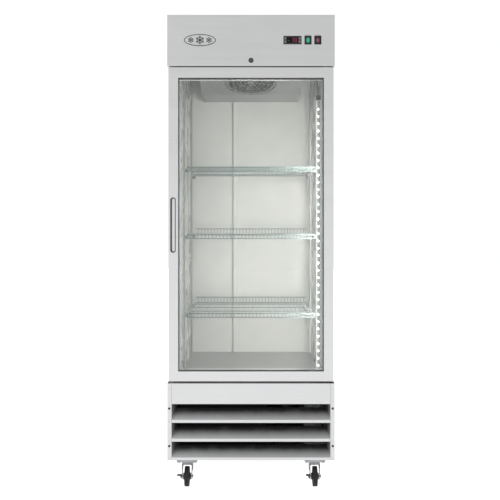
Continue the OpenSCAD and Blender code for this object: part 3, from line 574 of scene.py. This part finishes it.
# The handle trough's steel comes in two copies: a light one on the faces that look forward, a painted
# highlight, and a dark one on its steep walls, painted shade.
CUP_PAINTED_HIGHLIGHT_STEEL = brushed_steel("cup_painted_highlight_stainless", (0.88, 0.885, 0.89), 0.38, fineness=400.0)
CUP_PAINTED_SHADE_WALL = brushed_steel("cup_wall_painted_shade_stainless", (0.26, 0.26, 0.265), 0.34, fineness=400.0)
BASE_SHEET = brushed_steel("liner_floor_sheet", (0.40, 0.405, 0.40), 0.34)
ALUMINIUM = brushed_steel("satin_aluminium", (0.78, 0.785, 0.79), 0.34, contrast=0.03)
PILASTER = brushed_steel("pilaster_steel", (0.42, 0.43, 0.43), 0.36)
CLIP_ZINC = zinc_plate("clip_zinc", (0.17, 0.18, 0.18), 0.40)
# Near-black zinc for the hinge brackets: painted shade for the dark gap where they sit recessed.
HINGE_PAINTED_SHADE_ZINC = zinc_plate("hinge_zinc_painted_shade", (0.10, 0.10, 0.105), 0.34)
# Darkened zinc for the caster forks and plates: painted shade, as they sit in shadow under the cabinet.
FORK_PAINTED_SHADE_ZINC = zinc_plate("fork_zinc_painted_shade", (0.28, 0.283, 0.288), 0.20)
GUARD_ZINC = zinc_plate("guard_zinc", (0.30, 0.30, 0.305), 0.30)
ZINC = zinc_plate("zinc_plate", (0.62, 0.63, 0.65), 0.32)
BRIGHT_ZINC = zinc_plate("bright_zinc", (0.74, 0.745, 0.76), 0.22)
LINER_SKIN = {"grain": 400.0, "height": 0.05, "dust": 0.02, "coat": 0.3, "tone_span": 0.025, "wiped": 0.03}
LINER = coated("white_liner", (0.70, 0.695, 0.68), 0.24, **LINER_SKIN)
# A darker copy of the liner for its side walls: painted shade, since they are the same sheet as the brighter
# rear wall.
LINER_PAINTED_SHADE_SIDE = coated("liner_side_painted_shade", (0.37, 0.378, 0.372), 0.27, **LINER_SKIN)
# Dark grey for the evaporator cover: painted shade for the dim top of the cabinet.
EVAP_COVER_PAINTED_SHADE = coated("evap_cover_painted_shade", (0.15, 0.158, 0.156), 0.3, **LINER_SKIN)
FOAM = coated("poured_foam", (0.86, 0.80, 0.58), 0.9, grain=260.0, height=0.6, dust=0.0)
BLACK_PLASTIC = coated("black_plastic", (0.014, 0.014, 0.016), 0.38, shine=0.3)
DISPLAY = coated(
    "display_window", (0.004, 0.003, 0.0035), 0.10, grain=200.0, height=0.01, dust=0.0, shine=0.12
)
KEY_GREY = coated("key_grey", (0.15, 0.155, 0.16), 0.45)
LEGEND = coated("legend_print", (0.36, 0.33, 0.35), 0.5, dust=0.0)
BADGE_BLACK = coated("badge_enamel", (0.022, 0.023, 0.025), 0.28, dust=0.0, shine=0.3)
LOCK_BLACK = coated("lock_black", (0.05, 0.05, 0.055), 0.3, metallic=0.6)
LOCK_GREY = coated("lock_grey", (0.13, 0.13, 0.14), 0.3, metallic=0.8)
WIRE = coated("coated_wire", (0.22, 0.27, 0.27), 0.28, grain=500.0, height=0.08, dust=0.05, coat=0.3)
MOTOR_GREY = coated("motor_grey", (0.16, 0.165, 0.175), 0.45, grain=350.0, height=0.3, metallic=0.3, dust=0.3)
WHITE_PLASTIC = coated("white_plastic", (0.78, 0.78, 0.76), 0.4)
BLACK_PAINT = coated("black_paint", (0.02, 0.02, 0.022), 0.32, grain=250.0, height=0.25, dust=0.35, coat=0.3)
SPACER_BLACK = coated("glazing_spacer", (0.15, 0.155, 0.16), 0.4, grain=600.0, metallic=0.5, dust=0.0)
GASKET = coated("gasket_grey", (0.42, 0.43, 0.44), 0.55, grain=500.0, height=0.2)
WHEEL_BLACK = coated(
    "wheel_rubber", (0.016, 0.016, 0.018), 0.5, grain=700.0, height=0.35, dust=0.12, shine=0.3
)
HUB_GREY = coated("hub_nylon", (0.04, 0.042, 0.046), 0.4, grain=500.0, height=0.2, dust=0.12, shine=0.3)
ROCKER_GREEN = lit_rocker(
    "rocker_green", (0.008, 0.10, 0.055), (0.08, 0.42, 0.25), 1.0,
    (SWITCH_X[0], FACE_Y, CONTROL_Z), (0.009, 1, 0.015),
)
ROCKER_RED = lit_rocker(
    "rocker_red", (0.045, 0.014, 0.02), (0.20, 0.10, 0.125), 1.0,
    (SWITCH_X[1], FACE_Y, CONTROL_Z), (0.009, 1, 0.014),
)
LAMP = glowing("lamp_lens", (0.95, 0.96, 0.95), (0.97, 1.0, 0.98), 8.0)
LAMP_BOARD = coated("lamp_board", (0.40, 0.41, 0.405), 0.35, grain=700.0, dust=0.0)
DIGIT_RED = glowing("digit_red", (0.08, 0.01, 0.015), (0.8, 0.10, 0.20), 0.26)
SIGNAL_GREEN = glowing("signal_green", (0.01, 0.05, 0.03), (0.04, 0.4, 0.16), 0.15)
GLASS = window_glass("window_glass")
COPPER = bare_copper("bare_copper")


# ---- Cabinet ----


def cabinet_shell():
    dress("outer_panels", STEEL)
    dress("header_cover", HEADER_STEEL, width=0.55 * MM, segments=3)
    dress("insulation", FOAM, width=2 * MM)
    liner = dress("inner_liner", LINER, width=0.5 * MM)
    liner.data.materials.append(LINER_PAINTED_SHADE_SIDE)
    liner.data.materials.append(BASE_SHEET)
    # Side walls take the darker liner copy, which is painted shade; up-facing faces low down take the floor
    # sheet.
    for face in liner.data.polygons:
        if abs(face.normal.x) > 0.7:
            face.material_index = 1
        elif face.normal.z > 0.3 and face.center.z < 0.57:
            face.material_index = 2
    dress("base_frame", ZINC)
    dress("hinge_brackets", HINGE_PAINTED_SHADE_ZINC, width=0.7 * MM)
    dress("cord_inlet", BLACK_PLASTIC)


def inside_fittings():
    # The cover's dark grey is painted shade.
    dress("evaporator_cover", EVAP_COVER_PAINTED_SHADE, width=0.6 * MM)
    dress("wiring_duct", LINER, width=1.0 * MM)
    dress("led_channel", ALUMINIUM, width=0.6 * MM)
    dress("shelf_pilasters", PILASTER, width=0)
    dress("shelf_clips", CLIP_ZINC, width=0.5 * MM)
    for shelf in ("upper_shelf", "middle_shelf", "lower_shelf"):
        dress(shelf, WIRE, width=0, angle=50)


def cooling_parts():
    dress("evaporator_coil", ALUMINIUM, width=0)
    dress("evaporator_fan_motor", MOTOR_GREY, width=0.6 * MM)
    dress("evaporator_fan_blade", BLACK_PLASTIC, width=0.3 * MM)
    dress("fan_guard", GUARD_ZINC, width=0.4 * MM)
    dress("compressor", BLACK_PAINT, width=0)
    # The coil's near black is painted shade.
    dress("condenser_coil", PAINTED_SHADE_BLACK, width=0)
    dress("condenser_fan_frame", MOTOR_GREY, width=0.4 * MM)
    dress("condenser_fan_blade", MOTOR_GREY, width=0.3 * MM)
    dress("refrigerant_pipes", COPPER, width=0, angle=60)
    dress("condensate_pan", BLACK_PLASTIC, width=0.8 * MM)


def vent_screen():
    """A black dust screen in a folded rim, behind the slots of the back panel."""
    screen = block("vent_screen", (-0.159, BACK_Y - 4.6 * MM, 0.172), (0.279, BACK_Y - 1.6 * MM, 0.372))
    choose(screen, lambda c, n: n.y < -0.9)
    bpy.ops.mesh.inset(thickness=8 * MM)
    bpy.ops.transform.translate(value=(0, 1.8 * MM, 0))
    close_up()
    smooth(roll_edges(screen, 0.4 * MM))
    fit(screen, PAINTED_SHADE_BLACK)


def lamp_lenses():
    """The strip's board, with a small dome over each lamp."""
    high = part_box("led_lamps")[1]
    board = copy_of("led_lamps", "lamp_strip")
    turn = math.radians(-48)
    out = Vector((math.sin(turn), -math.cos(turn), 0))
    let_go()
    bpy.ops.mesh.primitive_uv_sphere_add(segments=12, ring_count=6, radius=LENS_RADIUS)
    dome = settle(bpy.context.active_object)
    start = Vector((0.3041, -0.311, 0)) + out * 0.4 * MM
    lenses = []
    count = int((high.z - 0.011 - FIRST_LENS_Z) / LENS_PITCH) + 1
    for i in range(count):
        lenses.append(copy_at(dome, start + Vector((0, 0, FIRST_LENS_Z + LENS_PITCH * i)), "lens"))
    bpy.data.objects.remove(dome)
    for part, finish in [(board, LAMP_BOARD)] + [(lens, LAMP) for lens in lenses]:
        part.data.materials.clear()
        part.data.materials.append(finish)
    piece = smooth(join([board] + lenses, "lamp_strip"))
    mount(piece, "cabinet", ["led_lamps"])


# ---- Header ----


def seven_segments(name, lit, centre, tall, thick):
    """One figure of a display, made of its lit bars."""
    half, wide = tall / 2, tall * 0.5
    bars = {
        "top": (0, half, wide, thick), "middle": (0, 0, wide, thick), "bottom": (0, -half, wide, thick),
        "upper_left": (-wide / 2, half / 2, thick, half), "upper_right": (wide / 2, half / 2, thick, half),
        "lower_left": (-wide / 2, -half / 2, thick, half), "lower_right": (wide / 2, -half / 2, thick, half),
    }
    made = []
    for bar in lit:
        x, z, w, h = bars[bar]
        low = Vector(centre) + Vector((x - w * 0.42, -0.15 * MM, z - h * 0.42))
        high = Vector(centre) + Vector((x + w * 0.42, 0.1 * MM, z + h * 0.42))
        made.append(roll_edges(block("bar", low, high), 0.1 * MM, 1))
    return join(made, name)


def snowflake(centre, size, thick):
    """Six arms, each with a pair of short branches."""
    arms = []
    for turn in range(6):
        arm = [block("arm", (-0.09 * size, -thick / 2, 0), (0.09 * size, thick / 2, size))]
        for way in (-1, 1):
            branch = block("arm", (-0.07 * size, -thick / 2, 0), (0.07 * size, thick / 2, 0.38 * size))
            branch.rotation_euler = (0, way * math.radians(58), 0)
            branch.location = (0, 0, 0.5 * size)
            arm.append(settle(branch))
        arm = join(arm, "arm")
        arm.rotation_euler = (0, turn * math.pi / 3, 0)
        arms.append(settle(arm))
    flake = join(arms, "flake")
    flake.location = centre
    return settle(flake)


def badge():
    """An oval plate with an enamelled rim and three snowflakes."""
    x, z = BADGE_X, CONTROL_Z
    wide, tall = BADGE_HALF
    flatness = tall / wide
    let_go()
    bpy.ops.mesh.primitive_circle_add(
        vertices=72, radius=wide, fill_type="NGON",
        location=(0, FACE_Y - 0.1 * MM, 0), rotation=(math.pi / 2, 0, 0),
    )
    plate = settle(bpy.context.active_object)
    plate.scale = (1, 1, flatness)
    plate.location = (x, 0, z)
    settle(plate)
    open_up(plate)
    bpy.ops.mesh.extrude_region_move(TRANSFORM_OT_translate={"value": (0, -1.3 * MM, 0)})
    bpy.ops.mesh.inset(thickness=3.0 * MM, depth=0)
    bpy.ops.transform.translate(value=(0, 0.5 * MM, 0))
    close_up()
    open_up(plate)
    bpy.ops.mesh.normals_make_consistent(inside=False)
    close_up()
    roll_edges(plate, 0.25 * MM, 2, 40)
    plate.data.materials.append(HEADER_STEEL)
    plate.data.materials.append(BADGE_BLACK)
    for face in plate.data.polygons:
        across = Vector((face.center.x - x, (face.center.z - z) / flatness))
        face.material_index = 1 if across.length > BADGE_RIM else 0
    smooth(plate)
    flakes = []
    for step, size in ((-0.040, 0.014), (0, 0.020), (0.040, 0.014)):
        flakes.append(snowflake((x + step, FACE_Y - 1.1 * MM, z), size, 0.6 * MM))
    flake = join(flakes, "flakes")
    flake.data.materials.append(BADGE_BLACK)
    mount(join([plate, smooth(flake)], "header_badge"))


def legends():
    """Two plain printed bars, one over each switch."""
    bars = []
    for x in SWITCH_X:
        low = (x - 0.0125, FACE_Y - 0.15 * MM, CONTROL_Z + 0.0205)
        high = (x + 0.0125, FACE_Y + 0.2 * MM, CONTROL_Z + 0.0245)
        bars.append(roll_edges(block("bar", low, high), 0.08 * MM, 1))
    fit(join(bars, "switch_legends"), LEGEND)


def controls():
    dress("controller_body", BLACK_PLASTIC, width=0.4 * MM)
    dress("controller_display", DISPLAY, width=0.3 * MM)
    for key in ("key_set", "key_defrost", "key_up", "key_down"):
        dress(key, KEY_GREY, width=0.5 * MM, segments=3)
    face = BEZEL_Y + 0.2 * MM
    three = ["top", "upper_right", "middle", "lower_right", "bottom"]
    eight = three + ["upper_left", "lower_left"]
    for name, lit, x in (("display_tens", three, 0.002), ("display_units", eight, 0.015)):
        figure = seven_segments(name, lit, (CONTROLLER_X + x, face, CONTROL_Z), 0.017, 0.0024)
        fit(figure, DIGIT_RED)
    signal = roll_edges(block(
        "display_signal", (CONTROLLER_X - 0.021, face - 0.1 * MM, CONTROL_Z - 0.004),
        (CONTROLLER_X - 0.013, face + 0.1 * MM, CONTROL_Z - 0.001),
    ), 0.08 * MM, 1)
    fit(signal, SIGNAL_GREEN)


def switches():
    dress("switch_housings", BLACK_PLASTIC, width=0.4 * MM)
    dress("power_rocker", ROCKER_GREEN, width=0.5 * MM, segments=3)
    dress("lamp_rocker", ROCKER_RED, width=0.5 * MM, segments=3)


def lock():
    dress("lock_housing", LOCK_BLACK, width=0.5 * MM, segments=3)
    dress("lock_barrel", LOCK_GREY, width=0.3 * MM)


# ---- Louvred panel and posts ----


def front_panel():
    panel = dress("louvre_panel", PANEL_STEEL, width=0.4 * MM, angle=50)
    panel.data.materials.append(SCOOP_PAINTED_SHADE_STEEL)
    for face in panel.data.polygons:
        # Faces behind the panel's face, low down, take the scoop steel with its painted shade.
        if face.center.y > FACE_Y + 1.5 * MM and face.center.z < 0.40:
            face.material_index = 1
    dress("panel_posts", PANEL_STEEL, width=0.5 * MM)


def pan_head(radius, height):
    """A screw head with a cross recess, facing -Y at the origin."""
    head = drum("head", (0, -height / 2, 0), radius, height, "y", 24)
    choose(head, lambda a, b: abs(a.y + height) < 1e-6 and abs(b.y + height) < 1e-6, "edges")
    bpy.ops.mesh.bevel(offset=height * 0.55, segments=3)
    close_up()
    arm, deep = radius * 0.55, height * 0.6
    for x, z in ((arm, radius * 0.13), (radius * 0.13, arm)):
        cut(head, block("slot", (-x, -height - 0.001, -z), (x, -height + deep, z)))
    return smooth(head)


def hex_head(radius, height):
    """A flanged hexagon head that points up from the origin."""
    head = drum("head", (0, 0, height / 2), radius, height, "z", 6)
    washer = drum("washer", (0, 0, height * 0.11), radius * 1.25, height * 0.22, "z", 24)
    return smooth(join([roll_edges(head, height * 0.08), roll_edges(washer, height * 0.05)], "head"))


def fasteners():
    small = pan_head(2.8 * MM, 1.0 * MM)
    small.data.materials.append(BRIGHT_ZINC)
    large = pan_head(5.2 * MM, 1.8 * MM)
    large.data.materials.append(DARK_SCREW)
    made = []
    for side in (-1, 1):
        for z in (0.142, 0.221, 0.3055, 0.3985, 0.448):
            made.append(copy_at(small, (side * POST_X, FACE_Y, z), "screw"))
        for z in (0.199, 0.3635):
            made.append(copy_at(large, (side * POST_X, FACE_Y, z), "screw"))
    for x in (0.329, 0.351):
        for z in (1.889, 0.4455):
            made.append(copy_at(large, (x, CAB_Y - 3 * MM, z), "screw"))
    back = copy_at(large, (0, 0, 0), "screw")
    take(back)
    back.rotation_euler = (0, 0, math.pi)
    settle(back)
    for side in (-1, 1):
        for z in (0.174, 0.419, 0.724, 1.124, 1.524, 1.924, 2.064):
            made.append(copy_at(back, (side * 0.3463, BACK_Y, z), "screw"))
    nut = hex_head(5.6 * MM, 6 * MM)
    nut.data.materials.append(BRIGHT_ZINC)
    for x, y in CASTERS.values():
        for dx in (-CASTER_BOLT[0], CASTER_BOLT[0]):
            for dy in (-CASTER_BOLT[1], CASTER_BOLT[1]):
                made.append(copy_at(nut, (x + dx, y + dy, PLATE_Z + 2 * MM), "screw"))
                under = copy_at(nut, (0, 0, 0), "screw")
                under.rotation_euler = (math.pi, 0, 0)
                settle(under)
                under.location = (x + dx, y + dy, 0.109)
                made.append(settle(under))
    for spare in (small, large, back, nut):
        bpy.data.objects.remove(spare)
    mount(join(made, "fasteners"), "cabinet", ["screws"])


# ---- Door ----


def door_parts():
    dress("door_frame", STEEL, width=0.55 * MM, segments=3)
    dress("door_core", FOAM, width=1 * MM)
    dress("door_inner_frame", WHITE_PLASTIC, width=0.6 * MM)
    dress("glass_spacer", SPACER_BLACK, width=0.3 * MM)
    dress("door_gasket", GASKET, width=1.2 * MM, segments=3)
    dress("hinge_bushes", WHITE_PLASTIC, width=0.4 * MM)


def panes():
    pane = frame["nodes"]["door_glass"]
    pane.data.materials.clear()
    pane.data.materials.append(GLASS)


def handle_trough():
    """A pressed pull: a long oval let down in rings, so that its section is half round."""
    low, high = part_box("handle_cup")
    middle = (low + high) / 2
    radius = (high.x - low.x) / 2
    depth = high.y - low.y - 0.6 * MM
    run = (high.z - low.z) / 2 - radius
    let_go()
    bpy.ops.mesh.primitive_circle_add(
        vertices=48, radius=radius, fill_type="NGON",
        location=(middle.x, low.y, middle.z), rotation=(math.pi / 2, 0, 0),
    )
    cup = settle(bpy.context.active_object)
    cup.name = "handle_trough"
    for way in (-1, 1):
        choose(cup, lambda co: (co.z - middle.z) * way > 1e-5, "corners")
        bpy.ops.transform.translate(value=(0, 0, run * way))
        close_up()
    open_up(cup)
    steps = 9
    gone, sunk = 0.0, 0.0
    for i in range(1, steps + 1):
        angle = math.pi / 2 * i / steps
        inset = radius * 0.62 * (1 - math.cos(angle))
        sink = depth * math.sin(angle)
        bpy.ops.mesh.inset(thickness=inset - gone, depth=0)
        bpy.ops.transform.translate(value=(0, sink - sunk, 0))
        gone, sunk = inset, sink
    close_up()
    take(cup)
    wall = cup.modifiers.new("wall", "SOLIDIFY")
    wall.thickness = 0.5 * MM
    wall.offset = -1
    bpy.ops.object.modifier_apply(modifier="wall")
    smooth(cup, 50)
    fit(cup, CUP_PAINTED_HIGHLIGHT_STEEL, "door", ["handle_cup"])
    cup.data.materials.append(CUP_PAINTED_SHADE_WALL)
    # painted shade on the trough's steep walls, painted highlight on its forward-facing floor
    for face in cup.data.polygons:
        face.material_index = 1 if abs(face.normal.y) < 0.60 else 0


# ---- Casters ----


def wheel(name, x, y):
    """A rubber tyre on a nylon centre, with a pressed race and a grease cap."""
    middle = Vector((x, y - 0.028, 0.044))
    tyre = drum(name + "_tyre", middle, 43.8 * MM, 20 * MM, "x", 72)
    choose(tyre, lambda c, n: abs(n.x) > 0.9)
    bpy.ops.mesh.inset(thickness=9 * MM)
    bpy.ops.mesh.extrude_region_shrink_fatten(TRANSFORM_OT_shrink_fatten={"value": -2.5 * MM})
    close_up()
    roll_edges(tyre, 2.6 * MM, 4, 50)
    tyre.data.materials.append(WHEEL_BLACK)
    centre = drum(name + "_centre", middle, 34 * MM, 19 * MM, "x", 48)
    choose(centre, lambda c, n: abs(n.x) > 0.9)
    for inset, push in ((6 * MM, -3 * MM), (10 * MM, 0.5 * MM), (3 * MM, 10 * MM)):
        bpy.ops.mesh.inset(thickness=inset)
        bpy.ops.mesh.extrude_region_shrink_fatten(TRANSFORM_OT_shrink_fatten={"value": push})
    close_up()
    roll_edges(centre, 0.8 * MM, 2, 40)
    centre.data.materials.append(HUB_GREY)
    return smooth(join([tyre, centre], name + "_wheel_made"), 40)


def casters():
    dress("caster_risers", ZINC, width=0.8 * MM)
    # Plates and forks take the darkened zinc, which is painted shade.
    dress("caster_plates", FORK_PAINTED_SHADE_ZINC, width=0.8 * MM)
    for name, (x, y) in CASTERS.items():
        dress(name + "_fork", FORK_PAINTED_SHADE_ZINC, width=0.7 * MM, angle=30)
        made = settle(wheel(name, x, y))
        mount(made, name + "_wheel", [name + "_wheel"])
    for name in ("front_left", "front_right"):
        dress(name + "_brake", BLACK_PLASTIC, width=1.0 * MM, segments=3)


# ---- Stage ----


def floor():
    let_go()
    bpy.ops.mesh.primitive_plane_add(size=40)
    plane = bpy.context.active_object
    plane.name = "floor"
    material, tree, shader = blank("studio_floor")
    skin = place(tree, PEBBLE, scale=3.0)
    tone = mix_colour(tree, skin.outputs["Tone"], (0.48, 0.48, 0.48, 1), (0.50, 0.50, 0.50, 1))
    tree.links.new(tone, shader.inputs["Base Color"])
    shader.inputs["Roughness"].default_value = 0.9
    shader.inputs["Specular IOR Level"].default_value = 0.1
    shader.inputs["Emission Color"].default_value = (1, 1, 1, 1)
    path = add(tree, "LightPath")
    seen = span(tree, path.outputs["Is Camera Ray"], 0, 1, 0.55, 0.9)
    tree.links.new(
        calc(tree, "SUBTRACT", seen, calc(tree, "MULTIPLY", path.outputs["Is Glossy Ray"], 0.05)),
        shader.inputs["Emission Strength"],
    )
    plane.data.materials.append(material)


def area_light(name, place_at, look_at, size, power, size_y=None):
    data = bpy.data.lights.new(name, "AREA")
    data.energy = power
    data.size = size
    if size_y:
        data.shape = "RECTANGLE"
        data.size_y = size_y
    light = bpy.data.objects.new(name, data)
    bpy.context.scene.collection.objects.link(light)
    light.location = place_at
    light.rotation_euler = (Vector(look_at) - Vector(place_at)).to_track_quat("-Z", "Y").to_euler()
    return light


def studio():
    """A white room, a little darker overhead, with a soft key light and the lamp strip's own light."""
    world = bpy.data.worlds.new("studio")
    bpy.context.scene.world = world
    world.use_nodes = True
    tree = world.node_tree
    tree.nodes.clear()
    toward = add(tree, "TexCoord").outputs["Generated"]
    height = add(tree, "SeparateXYZ", {0: toward}).outputs[2]
    tone = span(tree, height, 0.0, 0.3, 0.98, 0.61)
    open_air = add(tree, "Background", {"Color": (1, 1, 1, 1), "Strength": 1.02})
    mirrored = add(tree, "Background", {"Color": (1, 1, 1, 1), "Strength": tone})
    glossy = add(tree, "LightPath").outputs["Is Glossy Ray"]
    both = add(tree, "MixShader", {0: glossy, 1: open_air.outputs[0], 2: mirrored.outputs[0]})
    out = add(tree, "OutputWorld")
    tree.links.new(both.outputs[0], out.inputs["Surface"])
    area_light("key", (-3.4, -2.6, 4.424), (0, 0, 1.0), 2.0, 60)
    strip = area_light("strip_glow", (0.290, -0.316, 1.124), (-0.2, 0.25, 1.124), 0.012, 7.6, 1.18)
    strip.data.color = (1.0, 0.97, 0.92)


def camera():
    data = bpy.data.cameras.new("camera")
    data.lens = 55.83
    data.sensor_width = 36
    data.shift_x = -0.002
    data.shift_y = -0.038
    made = bpy.data.objects.new("camera", data)
    bpy.context.scene.collection.objects.link(made)
    made.location = (0, -3.807, 1.142)
    made.rotation_euler = (math.pi / 2, 0, 0)
    bpy.context.scene.camera = made
    bpy.context.scene.view_settings.view_transform = "Standard"


def led_lead():
    """The lamp strip's lead: from a grommet over the door opening, in a short hook, down into its plug."""
    stops = [Vector(stop) for stop in LEAD_ROUTE]
    ends = [stops[0] * 2 - stops[1]] + stops + [stops[-1] * 2 - stops[-2]]
    line = []
    for i in range(1, len(ends) - 2):
        a, b, c, d = ends[i - 1:i + 3]
        for share in (0.0, 1 / 3, 2 / 3):
            bend = b * 2 + (c - a) * share + (a * 2 - b * 5 + c * 4 - d) * share**2
            line.append((bend + (b * 3 - a - c * 3 + d) * share**3) / 2)
    line.append(stops[-1])
    curve = bpy.data.curves.new("led_lead_cord", "CURVE")
    curve.dimensions = "3D"
    curve.bevel_depth = LEAD_D / 2
    curve.bevel_resolution = 3
    curve.use_fill_caps = True
    run = curve.splines.new("POLY")
    run.points.add(len(line) - 1)
    for point, stop in zip(run.points, line):
        point.co = (*stop, 1)
    cord = bpy.data.objects.new("led_lead_cord", curve)
    bpy.context.scene.collection.objects.link(cord)
    curve.materials.append(BLACK_PLASTIC)
    end = stops[-1]
    low, high = end - Vector((0.009, 0.0095, 0.0216)), end + Vector((0.009, 0.009, -0.0002))
    plug = block("led_lead_plug", low, high)
    choose(plug, lambda c, n: n.z > 0.9)
    bpy.ops.mesh.inset(thickness=2.2 * MM)
    bpy.ops.transform.translate(value=(0, 0, -3 * MM))
    bpy.ops.mesh.inset(thickness=3 * MM)
    bpy.ops.mesh.extrude_region_move(TRANSFORM_OT_translate={"value": (0, 0, 2.8 * MM)})
    close_up()
    smooth(roll_edges(plug, 0.8 * MM, 3))
    fit(plug, BLACK_PLASTIC)
    ring = drum("led_grommet", stops[0] + Vector((0, 1.4 * MM, 0)), 6.5 * MM, 2.8 * MM, "y", 32)
    choose(ring, lambda c, n: n.y > 0.9)
    bpy.ops.mesh.inset(thickness=2.4 * MM)
    bpy.ops.transform.translate(value=(0, 1.2 * MM, 0))
    close_up()
    smooth(roll_edges(ring, 0.5 * MM, 2, 20))
    fit(ring, BLACK_PLASTIC)
    mount(cord, "cabinet", ["led_lead"])


camera()
led_lead()
cabinet_shell()
inside_fittings()
cooling_parts()
vent_screen()
lamp_lenses()
badge()
legends()
controls()
switches()
lock()
front_panel()
fasteners()
door_parts()
panes()
handle_trough()
casters()
floor()
studio()
